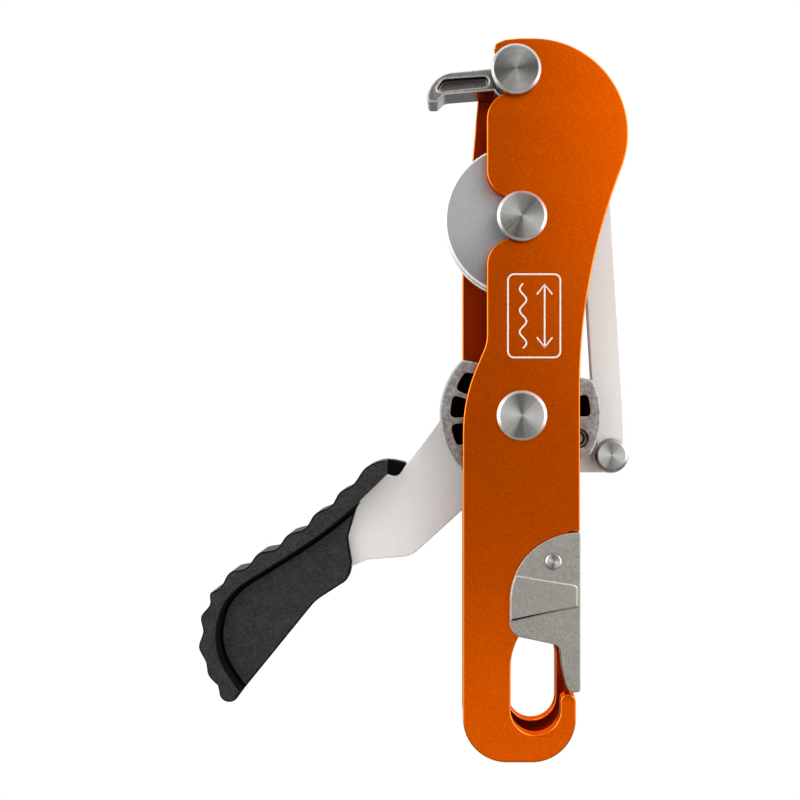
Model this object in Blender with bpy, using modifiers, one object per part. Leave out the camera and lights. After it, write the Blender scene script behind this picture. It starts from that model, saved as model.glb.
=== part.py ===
"""Anti-panic rope descender, modelled sub-part by sub-part.

The axes are +X to the right and +Z up, seen from the front, and +Y away from the viewer.
The origin is the centre of the carabiner eye, half way between the two side plates.
Sizes are written in millimetres and become metres as each mesh is made.
"""

import math

import bmesh
import bpy
from mathutils import Matrix, Vector

MM = 0.001
MERGE_DISTANCE = 0.001       # millimetres, while a mesh is being made
SLIVER = 0.00001             # metres; points closer than this are one point after a cut

# Clearances between pieces
GAP = 0.3                    # between pieces that lie or turn against each other
LINK_SLACK = 0.65            # round the link's top pin
NOTCH_SLACK = 0.6            # between a post's neck and the plate's notch

# Side plates
PLATE_THICKNESS = 5.4
PLATE_SPACING = 13.8
PLATE_WIDTH = 38.0
PLATE_CHAMFER = 0.5
HEAD_RADIUS = 30.85          # large round top of both plates
HEAD_ABOVE_BOBBIN = 27.3
HEAD_OFFSET = 3.8            # from the axle line to the middle of the round top
WAIST_RADIUS = 198.0         # hollow right side, between the round top and the straight edge
LOBE_EDGE = 11.2             # left edge of the front plate's lobe, from the axle line
LOBE_CORNER = 8.6
LOBE_LOW_SLOPE = 1.0         # how far a lobe's end falls away from the notch beside it
LOBE_HIGH_SLOPE = 0.5
HOOK_REACH = 6.8             # top hook of the front plate, left of the top post
HOOK_LIP = 0.9
HOOK_RISE = 0.3              # of its underside, from the notch to its tip
HOOK_TIP = 2.0               # height of its blunt tip
HOOK_TAPER = 3.3             # length that narrows to the tip
HOOK_DROP = 0.45             # of the taper's start, under the top of the round head
WAIST_LOW = 5.2              # where the left edge starts to draw in, above the axle
WAIST_HIGH = 23.6            # where it has drawn in, above the axle
WAIST_LOW_FILLET = 53.0
WAIST_HIGH_FILLET = 13.5
FOOT_CORNER = 14.3
FOOT_BELOW_EYE = 17.0        # lowest edge under the centre of the eye's round end
REAR_LEAN_START = 145.0      # height where the rear plate's left edge starts to lean
REAR_LEAN = math.radians(5.2)
REAR_CORNER = 7.0

# Carabiner eye and its mouth
EYE_RADIUS = 8.1
EYE_HEIGHT = 22.4            # top of the rear eye above the centre of its round end
HOOK_EDGE = 13.1             # right side of the hook under the mouth
NOSE_HEIGHT = 5.1
NOSE_FILLET = 2.35
SHOULDER_HEIGHT = 58.1       # plate's shoulder over the gate
LUG_RADIUS = 5.0             # round the gate's pin
MOUTH_SLANT = math.radians(35.0)
MOUTH_FILLET = 20.4
SHOULDER_FILLET = 0.4

# Axes, as distances up the descender
AXLE_OFFSET = -4.6           # the axle line lies left of the eye
EYE_TO_AXLE = 95.7
AXLE_TO_BOBBIN = 64.3
BOBBIN_TO_TOP_POST = 47.4
TOP_POST_OFFSET = -1.9

# Posts and their heads
POST_HEAD_RADIUS = 8.1
POST_HEAD_HEIGHT = 3.6
POST_HEAD_CHAMFER = 0.95
POST_NECK_RADIUS = 6.0
POST_CORE_RADIUS = 4.6       # reduced end that sits in the rear plate
POST_RECESS = 0.5            # of that end, under the rear plate's back
TOP_POST_BODY = 5.0          # top post between the plates, inside the brake arm
AXLE_JOURNAL_RADIUS = 5.0
BUSH_WALL = 1.5
ARM_BUSH_WALL = 1.0
PIN_RECESS = 0.2             # of a pressed pin's end, under the rear plate's back
BUSH_RECESS = 0.1            # of a bush's end, under the face of the piece round it
SCREW_RADIUS = 2.4
SCREW_HEAD_RADIUS = 7.2
SCREW_TOP_RADIUS = 5.2
SCREW_HEAD_HEIGHT = 2.6
SCREW_RIM_HEIGHT = 0.8
SCREW_DEPTH = 7.0
SCREW_SOCKET_RADIUS = 2.6
SCREW_SOCKET_DEPTH = 1.7

# Upper bobbin
BOBBIN_RADIUS = 24.9
BOBBIN_GROOVE_RADIUS = 17.5
BOBBIN_FLANGE = 2.4
BOBBIN_GROOVE_FLAT = 4.6
BOBBIN_CHAMFER = 0.6
BOBBIN_GROOVE_FILLET = 0.6
DOWEL_RADIUS = 1.6
DOWEL_REACH = 12.5
DOWEL_LENGTH = 8.0

# Cam bobbin on the main axle
CAM_RADIUS = 26.6
CAM_RIM = 3.5
CAM_GROOVE_DEPTH = 1.9
CAM_LAND = 1.6
CAM_EDGE = 0.5
CAM_POCKET_DEPTH = 6.8
CAM_POCKET_INNER = 12.6
CAM_POCKET_FILLET = 1.5
CAM_TOP_WALL = 3.9           # between a window and the flat top
# Windows, in degrees from and to
CAM_POCKETS = [(120.0, 158.5), (163.0, 182.0), (187.5, 206.5), (211.5, 230.5), (-1.0, 18.0)]
CAM_FOOT_DROP = 13.1         # flat under the link's pin, below the axle
CAM_FOOT_LEFT = 11.0         # where that flat begins, right of the axle
CAM_TOP_LEFT = 18.1          # height of the flat top over the axle, at its left end
CAM_TOP_SLOPE = math.radians(-8.6)
CAM_TOP_LEFT_X = -18.0
SPRING_CAVITY_RADIUS = 10.8
SPRING_CAVITY_DEPTH = 6.0

# Handle lever
LEVER_THICKNESS = 3.2
CRANK_LENGTH = 33.35
CRANK_ANGLE = math.radians(-23.6)
DRIVE_PIN_RADIUS = 1.6
DRIVE_PIN_INSET = 5.9        # of its axis, from the cam's edge
DRIVE_PIN_ANGLE = math.radians(-21.6)
DRIVE_PIN_SINK = 2.2
DRIVE_COUNTERBORE_RADIUS = 3.2
GRIP_BAND_THICKNESS = 19.0
GRIP_PANEL_THICKNESS = 9.6
GRIP_FRONT_END = 44.3        # front half of the grip ends here, left of the axle
GRIP_TIP_RADIUS = 3.3
GRIP_EDGE = 1.2
# Valleys between the finger bumps, from the axle, and how far each bump stands out
GRIP_VALLEYS = [(-55.3, -22.9), (-62.6, -30.0), (-71.3, -37.5), (-80.8, -44.2),
                (-90.7, -50.5), (-99.3, -57.1), (-102.9, -62.9), (-105.1, -71.8),
                (-104.2, -81.8), (-100.2, -89.6)]
GRIP_BUMPS = [1.2, 1.4, 1.5, 1.8, 2.0, 1.8, 1.8, 1.8, 1.2]
# Edge between the raised band and the panel, from the lever to the tip
GRIP_BORDER = [(-54.9, -30.8), (-63.5, -37.9), (-72.9, -44.5), (-84.4, -51.7), (-93.4, -57.6),
               (-98.4, -64.0), (-100.4, -72.7), (-98.9, -81.3), (-94.1, -89.2), (-92.3, -91.3)]

# Link bar and top brake arm
LINK_WIDTH = 10.3
LINK_THICKNESS = 4.2
LINK_END_RADIUS = 6.0
LINK_PIN_RADIUS = 2.5
LINK_HEAD_RADIUS = 5.6
LINK_HEAD_HEIGHT = 2.0
LINK_HEAD_CHAMFER = 1.0
LINK_CLIP_THICKNESS = 1.0
LINK_CLIP_WIDTH = 2.0
LINK_CLIP_MOUTH = math.radians(32.0)   # half of its opening
LINK_PIN_END = 0.6           # how far a pin stands past its clip
LINK_FLARE = math.radians(38.0)        # where the round lower end meets the shank
LINK_SHOULDER = 14.4         # up the link, where the shank has its full width
ROCKER_LENGTH = 28.4
ROCKER_ANGLE = math.radians(-25.0)
ARM_HUB_RADIUS = 8.2
ARM_TAB_THICKNESS = 5.2
ARM_TAB_RADIUS = 6.4
ARM_TAB_ROOT = 8.0           # half of the tab's width at the hub
ARM_POCKET_DEPTH = 2.5
ARM_EDGE = 0.6

# Gate
GATE_CHEEK = 1.2
GATE_PIN_X = 5.6
GATE_PIN_DROP = 9.6          # of the pin, under the shoulder
GATE_PIN_RADIUS = 1.5
GATE_PIN_HEAD_RADIUS = 2.6
GATE_PIN_HEAD_HEIGHT = 0.8
GATE_PIN_END = 0.3           # how far the pin stands behind the rear cheek
GATE_RIGHT_EDGE = 14.4
GATE_LEFT_EDGE = -8.6
GATE_ROUND = 22.4            # quarter circle at the upper left
GATE_CORE_EDGE = 10.9        # inner face of the gate's core, right of the eye's centre line
GATE_TIP_HEIGHT = 6.1
GATE_PAD_HEIGHT = 0.6
GATE_PAD_DROP = 13.4         # from the gate's top to the pad's upper left end
GATE_PAD_INSET = 0.15        # of the pad, from the gate's left side
GATE_SPRING_COIL = 2.9
GATE_SPRING_WIRE = 0.3
GATE_SPRING_TURNS = 1.75
GATE_POCKET_RADIUS = 4.0
GATE_POCKET_DEPTH = 3.2

# Return spring of the lever
RETURN_COIL_RADIUS = 8.7
RETURN_WIRE_RADIUS = 0.7
RETURN_TURNS = 2.0
STOP_PIN_RADIUS = 1.75
STOP_PIN_X = 9.0             # right of the axle line

# Counts of facets on round pieces
FACETS_LARGE = 48
FACETS_MEDIUM = 28
FACETS_SMALL = 16
ARC_STEP = math.radians(15.0)

# Depths measured back from the front plate's front face
FRONT_FACE = 0.0
FRONT_BACK = PLATE_THICKNESS
INNER_FRONT = FRONT_BACK + GAP
REAR_FACE = PLATE_THICKNESS + PLATE_SPACING
INNER_REAR = REAR_FACE - GAP
REAR_BACK = 2 * PLATE_THICKNESS + PLATE_SPACING
MIDDLE_DEPTH = REAR_BACK / 2
LEVER_FRONT = INNER_REAR - LEVER_THICKNESS
LEVER_MIDDLE = INNER_REAR - LEVER_THICKNESS / 2
CAM_BACK = LEVER_FRONT - GAP
LINK_BACK = LEVER_FRONT - GAP
LINK_FRONT = LINK_BACK - LINK_THICKNESS
HEAD_BACK = -GAP

AXLE = Vector((AXLE_OFFSET, EYE_TO_AXLE))
BOBBIN = AXLE + Vector((0, AXLE_TO_BOBBIN))
TOP_POST = BOBBIN + Vector((TOP_POST_OFFSET, BOBBIN_TO_TOP_POST))
GATE_PIN = Vector((GATE_PIN_X, SHOULDER_HEIGHT - GATE_PIN_DROP))
LINK_LOW = AXLE + CRANK_LENGTH * Vector((math.cos(CRANK_ANGLE), math.sin(CRANK_ANGLE)))
LINK_TOP = TOP_POST + ROCKER_LENGTH * Vector((math.cos(ROCKER_ANGLE), math.sin(ROCKER_ANGLE)))
DRIVE_PIN = AXLE + (CAM_RADIUS - DRIVE_PIN_INSET) * Vector((math.cos(DRIVE_PIN_ANGLE),
                                                           math.sin(DRIVE_PIN_ANGLE)))
RIGHT_EDGE = AXLE.x + PLATE_WIDTH / 2
LEFT_EDGE = AXLE.x - PLATE_WIDTH / 2


def start_scene():
    for thing in list(bpy.data.objects):
        bpy.data.objects.remove(thing, do_unlink=True)
    parts = bpy.data.collections.new("anti_panic_descender")
    cutters = bpy.data.collections.new("cutters")
    for collection in (parts, cutters):
        bpy.context.scene.collection.children.link(collection)
    return parts, cutters


PARTS, CUTTERS = start_scene()


def finish(name, colour, roughness, metallic):
    material = bpy.data.materials.new(name)
    material.use_nodes = True
    shader = material.node_tree.nodes["Principled BSDF"]
    shader.inputs["Base Color"].default_value = (*colour, 1)
    shader.inputs["Roughness"].default_value = roughness
    shader.inputs["Metallic"].default_value = metallic
    return material


ORANGE = finish("orange_anodised", (0.52, 0.06, 0.001), 0.38, 0.85)
STEEL = finish("turned_steel", (0.46, 0.44, 0.42), 0.28, 1.0)
CAST = finish("cast_steel", (0.32, 0.31, 0.29), 0.42, 1.0)
SATIN = finish("satin_aluminium", (0.42, 0.42, 0.43), 0.4, 1.0)
BLASTED = finish("blasted_steel", (0.66, 0.65, 0.63), 0.5, 0.9)
GATE_GREY = finish("gate_steel", (0.3, 0.28, 0.26), 0.45, 0.9)
RUBBER = finish("charcoal_rubber", (0.025, 0.025, 0.027), 0.75, 0.0)
BRONZE = finish("bush_bronze", (0.45, 0.28, 0.12), 0.4, 1.0)
SPRING_WIRE = finish("spring_steel", (0.3, 0.3, 0.31), 0.35, 1.0)


def direction(angle):
    return Vector((math.cos(angle), math.sin(angle)))


def arc(centre, radius, start, stop):
    """Points from the start angle to the stop angle, both ends included."""
    steps = max(2, math.ceil(abs(stop - start) / ARC_STEP))
    return [Vector(centre) + radius * direction(start + (stop - start) * i / steps)
            for i in range(steps + 1)]


def rounded(corners):
    """Closed outline through corners (x, z, fillet radius); fillets that meet are made smaller."""
    points = [Vector(corner[:2]) for corner in corners]
    count = len(points)
    reaches = []
    for i, (_, _, radius) in enumerate(corners):
        opening = (points[i - 1] - points[i]).angle(points[(i + 1) % count] - points[i])
        reaches.append(radius / math.tan(opening / 2) if radius > 0 else 0)
    fits = [min(1, 0.98 * (points[i - 1] - points[i]).length / max(MERGE_DISTANCE, both))
            for i, both in enumerate(a + b for a, b in zip([reaches[-1]] + reaches, reaches))]
    outline = []
    for i, here in enumerate(points):
        before = points[i - 1] - here
        after = points[(i + 1) % count] - here
        reach = reaches[i] * min(fits[i], fits[(i + 1) % count])
        if reach <= 0:
            outline.append(here)
            continue
        opening = before.angle(after)
        radius = reach * math.tan(opening / 2)
        first = here + before.normalized() * reach
        last = here + after.normalized() * reach
        centre = here + (before.normalized() + after.normalized()).normalized() \
            * (radius / math.sin(opening / 2))
        begin = math.atan2(first.y - centre.y, first.x - centre.x)
        turn = (first - centre).angle_signed(last - centre)
        outline += arc(centre, radius, begin, begin - turn)
    return outline


def circle(centre, radius, facets):
    return [Vector(centre) + radius * direction(2 * math.pi * i / facets) for i in range(facets)]


def place_mesh(name, mesh, material, collection=PARTS, pivot=(0, 0)):
    """Puts a mesh that is in world millimetres on an object whose origin is on the pivot's axis."""
    mesh.transform(Matrix.Translation((-pivot[0], 0, -pivot[1])))
    mesh.transform(Matrix.Scale(MM, 4))
    thing = bpy.data.objects.new(name, mesh)
    collection.objects.link(thing)
    thing.location = (pivot[0] * MM, 0, pivot[1] * MM)
    if material:
        thing.data.materials.clear()
        thing.data.materials.append(material)
    if collection is CUTTERS:
        thing.hide_render = True
        thing.display_type = "WIRE"
    return thing


def standing(mesh, depth):
    """Turns a mesh drawn flat in X and Y upright, with its middle at a depth behind the front."""
    mesh.transform(Matrix.Rotation(math.radians(90), 4, "X"))
    mesh.transform(Matrix.Translation((0, depth - MIDDLE_DEPTH, 0)))
    return mesh


def welded(mesh, distance=MERGE_DISTANCE):
    work = bmesh.new()
    work.from_mesh(mesh)
    bmesh.ops.remove_doubles(work, verts=work.verts, dist=distance)
    bmesh.ops.recalc_face_normals(work, faces=work.faces)
    work.to_mesh(mesh)
    work.free()
    return mesh


def curve_mesh(curve):
    """The mesh of a curve, with its caps welded; the curve itself is removed."""
    guide = bpy.data.objects.new("guide", curve)
    CUTTERS.objects.link(guide)
    graph = bpy.context.evaluated_depsgraph_get()
    mesh = bpy.data.meshes.new_from_object(guide.evaluated_get(graph))
    bpy.data.objects.remove(guide, do_unlink=True)
    bpy.data.curves.remove(curve)
    return welded(mesh)


def slab_mesh(outlines, near, far):
    """A flat outline with its holes, between two depths."""
    curve = bpy.data.curves.new("outline", "CURVE")
    curve.dimensions = "2D"
    curve.fill_mode = "BOTH"
    curve.extrude = (far - near) / 2
    for outline in outlines:
        spline = curve.splines.new("POLY")
        spline.points.add(len(outline) - 1)
        for point, corner in zip(spline.points, outline):
            point.co = (corner[0], corner[1], 0, 1)
        spline.use_cyclic_u = True
    return standing(curve_mesh(curve), (near + far) / 2)


def slab(name, outlines, near, far, material=None, chamfer=0.0, collection=PARTS, pivot=(0, 0)):
    thing = place_mesh(name, slab_mesh(outlines, near, far), material, collection, pivot)
    if chamfer:
        edge_bevel(thing, chamfer)
    return thing


def edge_bevel(thing, width, segments=1, angle=50):
    bevel = thing.modifiers.new("edges", "BEVEL")
    bevel.width = width * MM
    bevel.segments = segments
    bevel.limit_method = "ANGLE"
    bevel.angle_limit = math.radians(angle)
    bevel.use_clamp_overlap = True
    bevel.miter_outer = "MITER_SHARP"


def turned(name, profile, centre, material=None, facets=FACETS_MEDIUM, collection=PARTS):
    """A solid of revolution. The profile holds (radius, depth) from its front to its back."""
    mesh = bpy.data.meshes.new(name)
    work = bmesh.new()
    corners = [work.verts.new((radius, 0, MIDDLE_DEPTH - depth)) for radius, depth in profile]
    for first, second in zip(corners, corners[1:]):
        work.edges.new((first, second))
    if profile[0][0] > 0:
        work.edges.new((corners[-1], corners[0]))
    work.to_mesh(mesh)
    work.free()
    thing = bpy.data.objects.new(name, mesh)
    CUTTERS.objects.link(thing)
    screw = thing.modifiers.new("turn", "SCREW")
    screw.axis = "Z"
    screw.steps = facets
    screw.render_steps = facets
    screw.use_merge_vertices = True
    screw.merge_threshold = 0.0001
    graph = bpy.context.evaluated_depsgraph_get()
    solid = bpy.data.meshes.new_from_object(thing.evaluated_get(graph))
    bpy.data.objects.remove(thing, do_unlink=True)
    bpy.data.meshes.remove(mesh)
    solid.transform(Matrix.Rotation(math.radians(90), 4, "X"))
    solid.transform(Matrix.Translation((centre[0], 0, centre[1])))
    return place_mesh(name, welded(solid), material, collection, centre)


def cylinder(name, centre, radius, near, far, material=None, facets=FACETS_MEDIUM,
             collection=PARTS):
    work = bmesh.new()
    bmesh.ops.create_cone(work, cap_ends=True, segments=facets, radius1=radius, radius2=radius,
                          depth=far - near)
    mesh = bpy.data.meshes.new(name)
    work.to_mesh(mesh)
    work.free()
    standing(mesh, (near + far) / 2)
    mesh.transform(Matrix.Translation((centre[0], 0, centre[1])))
    return place_mesh(name, mesh, material, collection, centre)


def ring(name, centre, inner, outer, near, far, material, facets=FACETS_MEDIUM):
    return turned(name, [(outer, near), (outer, far), (inner, far), (inner, near)], centre,
                  material, facets)


def combine(thing, tool, operation):
    """Applies one exact Boolean and removes the tool."""
    step = thing.modifiers.new(operation.lower(), "BOOLEAN")
    step.operation = operation
    step.solver = "EXACT"
    step.object = tool
    bpy.context.view_layer.update()
    graph = bpy.context.evaluated_depsgraph_get()
    mesh = bpy.data.meshes.new_from_object(thing.evaluated_get(graph))
    thing.modifiers.clear()
    old = thing.data
    thing.data = welded(mesh, SLIVER)
    bpy.data.meshes.remove(old)
    bpy.data.objects.remove(tool, do_unlink=True)
    return thing


def cut(thing, tool):
    return combine(thing, tool, "DIFFERENCE")


def join(thing, tool):
    return combine(thing, tool, "UNION")


def tube(name, points, radius, material, pivot):
    """A wire along points (x, depth, z)."""
    curve = bpy.data.curves.new(name, "CURVE")
    curve.dimensions = "3D"
    curve.bevel_depth = radius
    curve.bevel_resolution = 1
    curve.use_fill_caps = True
    spline = curve.splines.new("POLY")
    spline.points.add(len(points) - 1)
    for point, (x, depth, z) in zip(spline.points, points):
        point.co = (x, depth - MIDDLE_DEPTH, z, 1)
    return place_mesh(name, curve_mesh(curve), material, PARTS, pivot)


def least_gap(points, radius, turn_points):
    """Least space between a coil's own turns, wire surface to wire surface."""
    least = min((Vector(a) - Vector(b)).length
                for i, a in enumerate(points) for b in points[i + turn_points // 2:])
    return least - 2 * radius


def plate_right_side(lowest):
    """The right side of a plate, from the top of its round head down to the straight edge."""
    head = Vector((AXLE.x + HEAD_OFFSET, BOBBIN.y + HEAD_ABOVE_BOBBIN))
    waist_x = RIGHT_EDGE + WAIST_RADIUS
    reach = HEAD_RADIUS + WAIST_RADIUS
    drop = math.sqrt(reach ** 2 - (waist_x - head.x) ** 2)
    waist = Vector((waist_x, head.y - drop))
    touch = math.atan2(waist.y - head.y, waist.x - head.x)
    over_the_top = arc(head, HEAD_RADIUS, math.radians(90), touch)
    hollow = waist_arc(waist, touch)
    return head, over_the_top + hollow[1:] + [Vector((RIGHT_EDGE, lowest))]


def waist_arc(waist, touch):
    steps = 8
    begin = math.pi + touch
    return [waist + WAIST_RADIUS * direction(begin + (math.pi - begin) * i / steps)
            for i in range(steps + 1)]


def head_point(head, x):
    return head.y + math.sqrt(HEAD_RADIUS ** 2 - (x - head.x) ** 2)


def foot():
    """Foot of a plate from its right corner to its left one, clockwise."""
    low = -FOOT_BELOW_EYE
    return low, [(HOOK_EDGE, low, FOOT_CORNER), (LEFT_EDGE, low, FOOT_CORNER)]


def front_plate_outline():
    head, right_side = plate_right_side(SHOULDER_HEIGHT)
    low, feet = foot()
    notch = POST_NECK_RADIUS + NOTCH_SLACK
    lobe = AXLE.x - LOBE_EDGE
    hook_tip = TOP_POST.x - HOOK_REACH
    lug_x = GATE_PIN.x + LUG_RADIUS
    lug_z = GATE_PIN.y - LUG_RADIUS * math.tan(MOUTH_SLANT / 2)
    slot_z = lug_z - (lug_x + EYE_RADIUS) / math.tan(MOUTH_SLANT)
    eye = arc((0, 0), EYE_RADIUS, -math.pi, 0)
    corners = [(p.x, p.y, 0) for p in right_side]
    corners += [(lug_x, SHOULDER_HEIGHT, SHOULDER_FILLET),
                (lug_x, lug_z, LUG_RADIUS),
                (-EYE_RADIUS, slot_z, MOUTH_FILLET)]
    corners += [(p.x, p.y, 0) for p in eye]
    corners += [(EYE_RADIUS, NOSE_HEIGHT, NOSE_FILLET),
                (HOOK_EDGE, NOSE_HEIGHT, NOSE_FILLET)]
    corners += feet
    corners += [(LEFT_EDGE, AXLE.y + WAIST_LOW, WAIST_LOW_FILLET),
                (lobe, AXLE.y + WAIST_HIGH, WAIST_HIGH_FILLET),
                (lobe, BOBBIN.y - notch - LOBE_LOW_SLOPE, LOBE_CORNER),
                (BOBBIN.x, BOBBIN.y - notch, 0)]
    corners += [(p.x, p.y, 0) for p in arc(BOBBIN, notch, -math.pi / 2, math.pi / 2)[1:]]
    corners += [(lobe, BOBBIN.y + notch, LOBE_CORNER),
                (lobe, TOP_POST.y - notch - LOBE_HIGH_SLOPE, LOBE_CORNER),
                (TOP_POST.x, TOP_POST.y - notch, 0)]
    corners += [(p.x, p.y, 0) for p in arc(TOP_POST, notch, -math.pi / 2, math.pi / 2)[1:]]
    underside = TOP_POST.y + notch + HOOK_RISE
    top = head.y + HEAD_RADIUS
    corners += [(hook_tip, underside, HOOK_LIP),
                (hook_tip, underside + HOOK_TIP, 1.6 * HOOK_LIP),
                (hook_tip + HOOK_TAPER, top - HOOK_DROP, 4.0),
                (hook_tip + 2.4 * HOOK_TAPER, top, 6.0)]
    return rounded(corners)


def rear_plate_outline():
    head, right_side = plate_right_side(-FOOT_BELOW_EYE + FOOT_CORNER)
    low, feet = foot()
    top_z = head.y + HEAD_RADIUS
    lean_top = LEFT_EDGE + (top_z - REAR_LEAN_START) * math.tan(REAR_LEAN)
    corner_x = lean_top + REAR_CORNER
    corners = [(p.x, p.y, 0) for p in right_side[:-1]]
    corners += [(RIGHT_EDGE, low, FOOT_CORNER), (LEFT_EDGE, low, FOOT_CORNER)]
    corners += [(LEFT_EDGE, REAR_LEAN_START, WAIST_LOW_FILLET)]
    corner_z = head_point(head, corner_x)
    edge_z = corner_z - REAR_CORNER
    edge_x = LEFT_EDGE + (edge_z - REAR_LEAN_START) * math.tan(REAR_LEAN)
    corners += [(edge_x, edge_z, 6.0), (corner_x, corner_z, 6.0)]
    start = math.atan2(head_point(head, corner_x + 4.0) - head.y, corner_x + 4.0 - head.x)
    corners += [(p.x, p.y, 0) for p in arc(head, HEAD_RADIUS, start, math.pi / 2)[:-1]]
    return rounded(corners)


def eye_slot():
    upper = (0, EYE_HEIGHT - EYE_RADIUS)
    return arc((0, 0), EYE_RADIUS, -math.pi, 0) + arc(upper, EYE_RADIUS, 0, math.pi)


def make_front_plate():
    holes = [circle(AXLE, AXLE_JOURNAL_RADIUS + BUSH_WALL + 2 * GAP, FACETS_MEDIUM),
             circle(GATE_PIN, GATE_PIN_RADIUS + GAP / 2, FACETS_SMALL)]
    plate = slab("front_plate", [front_plate_outline()] + holes, FRONT_FACE, FRONT_BACK, ORANGE,
                 PLATE_CHAMFER, pivot=AXLE)
    pocket_floor = FRONT_BACK - GATE_POCKET_DEPTH
    pocket = cylinder("spring_pocket", GATE_PIN, GATE_POCKET_RADIUS, pocket_floor,
                      FRONT_BACK + 1, facets=FACETS_SMALL, collection=CUTTERS)
    cut(plate, pocket)
    exit_slot = slab("spring_exit", [[GATE_PIN + Vector(c) for c in
                                      ((1.0, -8.0), (8, -8.0), (8, -1.2), (1.0, -1.2))]],
                     pocket_floor + 0.35, FRONT_BACK + 1.2, collection=CUTTERS)
    return cut(plate, exit_slot)


def make_front_plate_bush():
    return ring("front_plate_bush", AXLE, AXLE_JOURNAL_RADIUS + GAP,
                AXLE_JOURNAL_RADIUS + GAP + BUSH_WALL, FRONT_FACE, FRONT_BACK, BRONZE)


def make_rear_plate():
    seat = POST_CORE_RADIUS + GAP / 2
    holes = [eye_slot(),
             circle(AXLE, seat, FACETS_MEDIUM),
             circle(BOBBIN, seat, FACETS_MEDIUM),
             circle(TOP_POST, seat, FACETS_MEDIUM),
             circle(BOBBIN - Vector((0, DOWEL_REACH)), DOWEL_RADIUS + GAP / 2, FACETS_SMALL),
             circle(stop_pin_centre(), STOP_PIN_RADIUS + GAP / 2, FACETS_SMALL)]
    return slab("rear_plate", [rear_plate_outline()] + holes, REAR_FACE, REAR_BACK, ORANGE,
                PLATE_CHAMFER)


def post(name, centre, neck, body):
    """A headed post: head, neck in the front plate, body between the plates, and its seat."""
    head_front = HEAD_BACK - POST_HEAD_HEIGHT
    bore = SCREW_RADIUS + GAP / 2
    seat_end = REAR_BACK - POST_RECESS
    profile = [(0, head_front),
               (POST_HEAD_RADIUS - POST_HEAD_CHAMFER, head_front),
               (POST_HEAD_RADIUS, head_front + POST_HEAD_CHAMFER),
               (POST_HEAD_RADIUS, HEAD_BACK),
               (neck, HEAD_BACK),
               (neck, INNER_FRONT),
               (body, INNER_FRONT),
               (body, INNER_REAR),
               (POST_CORE_RADIUS, INNER_REAR),
               (POST_CORE_RADIUS, seat_end),
               (bore, seat_end),
               (bore, seat_end - SCREW_DEPTH - 1),
               (0, seat_end - SCREW_DEPTH - 1)]
    return turned(name, clean_profile(profile), centre, STEEL)


def clean_profile(profile):
    kept = [profile[0]]
    for point in profile[1:]:
        if point != kept[-1]:
            kept.append(point)
    return kept


def post_screw(name, centre):
    """A low round screw head on the rear plate, with a hexagon socket."""
    back = REAR_BACK + GAP
    top = back + SCREW_HEAD_HEIGHT
    profile = [(0, REAR_BACK - SCREW_DEPTH),
               (SCREW_RADIUS, REAR_BACK - SCREW_DEPTH),
               (SCREW_RADIUS, back),
               (SCREW_HEAD_RADIUS, back),
               (SCREW_HEAD_RADIUS, back + SCREW_RIM_HEIGHT),
               (SCREW_TOP_RADIUS, top),
               (0, top)]
    screw = turned(name, profile, centre, STEEL)
    socket = cylinder("socket", centre, SCREW_SOCKET_RADIUS, top - SCREW_SOCKET_DEPTH, top + 1,
                      facets=6, collection=CUTTERS)
    return cut(screw, socket)


def make_upper_bobbin():
    front, back = INNER_FRONT, INNER_REAR
    middle = (front + back) / 2
    bore = POST_NECK_RADIUS + GAP
    half_flat = BOBBIN_GROOVE_FLAT / 2
    fillet = BOBBIN_GROOVE_FILLET
    foot = BOBBIN_GROOVE_RADIUS + 1.7 * fillet
    profile = [(bore, front),
               (BOBBIN_RADIUS - BOBBIN_CHAMFER, front),
               (BOBBIN_RADIUS, front + BOBBIN_CHAMFER),
               (BOBBIN_RADIUS, front + BOBBIN_FLANGE),
               (foot, middle - half_flat - fillet),
               (BOBBIN_GROOVE_RADIUS, middle - half_flat + fillet),
               (BOBBIN_GROOVE_RADIUS, middle + half_flat - fillet),
               (foot, middle + half_flat + fillet),
               (BOBBIN_RADIUS, back - BOBBIN_FLANGE),
               (BOBBIN_RADIUS, back - BOBBIN_CHAMFER),
               (BOBBIN_RADIUS - BOBBIN_CHAMFER, back),
               (bore, back)]
    bobbin = turned("upper_bobbin", profile, BOBBIN, SATIN, FACETS_LARGE)
    hole = cylinder("dowel_hole", BOBBIN - Vector((0, DOWEL_REACH)), DOWEL_RADIUS + GAP / 2,
                    INNER_REAR - (DOWEL_LENGTH - PLATE_THICKNESS) - 1, INNER_REAR + 1,
                    facets=FACETS_SMALL, collection=CUTTERS)
    return cut(bobbin, hole)


def make_bobbin_dowel():
    return cylinder("bobbin_dowel", BOBBIN - Vector((0, DOWEL_REACH)), DOWEL_RADIUS,
                    REAR_BACK - DOWEL_LENGTH, REAR_BACK - PIN_RECESS, STEEL, FACETS_SMALL)


def clipped(corners, place, beyond):
    """The part of a convex outline that isn't beyond a line through a place."""
    kept = []
    for i, here in enumerate(corners):
        before = corners[i - 1]
        now, then = ((p - place).dot(beyond) for p in (here, before))
        if (now > 0) != (then > 0):
            kept.append(before + (here - before) * then / (then - now))
        if now <= 0:
            kept.append(here)
    return kept


def cam_window(start, stop, top, up):
    """Outline of a window between two radii, kept clear of the flat top."""
    outer = CAM_RADIUS - CAM_RIM
    turns = [math.radians(start + (stop - start) * step / 4) for step in range(5)]
    corners = [AXLE + CAM_POCKET_INNER * direction(turns[0])] \
        + [AXLE + outer * direction(turn) for turn in turns] \
        + [AXLE + CAM_POCKET_INNER * direction(turns[-1])]
    return rounded([(p.x, p.y, CAM_POCKET_FILLET)
                    for p in clipped(corners, top - CAM_TOP_WALL * up, up)])


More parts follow.
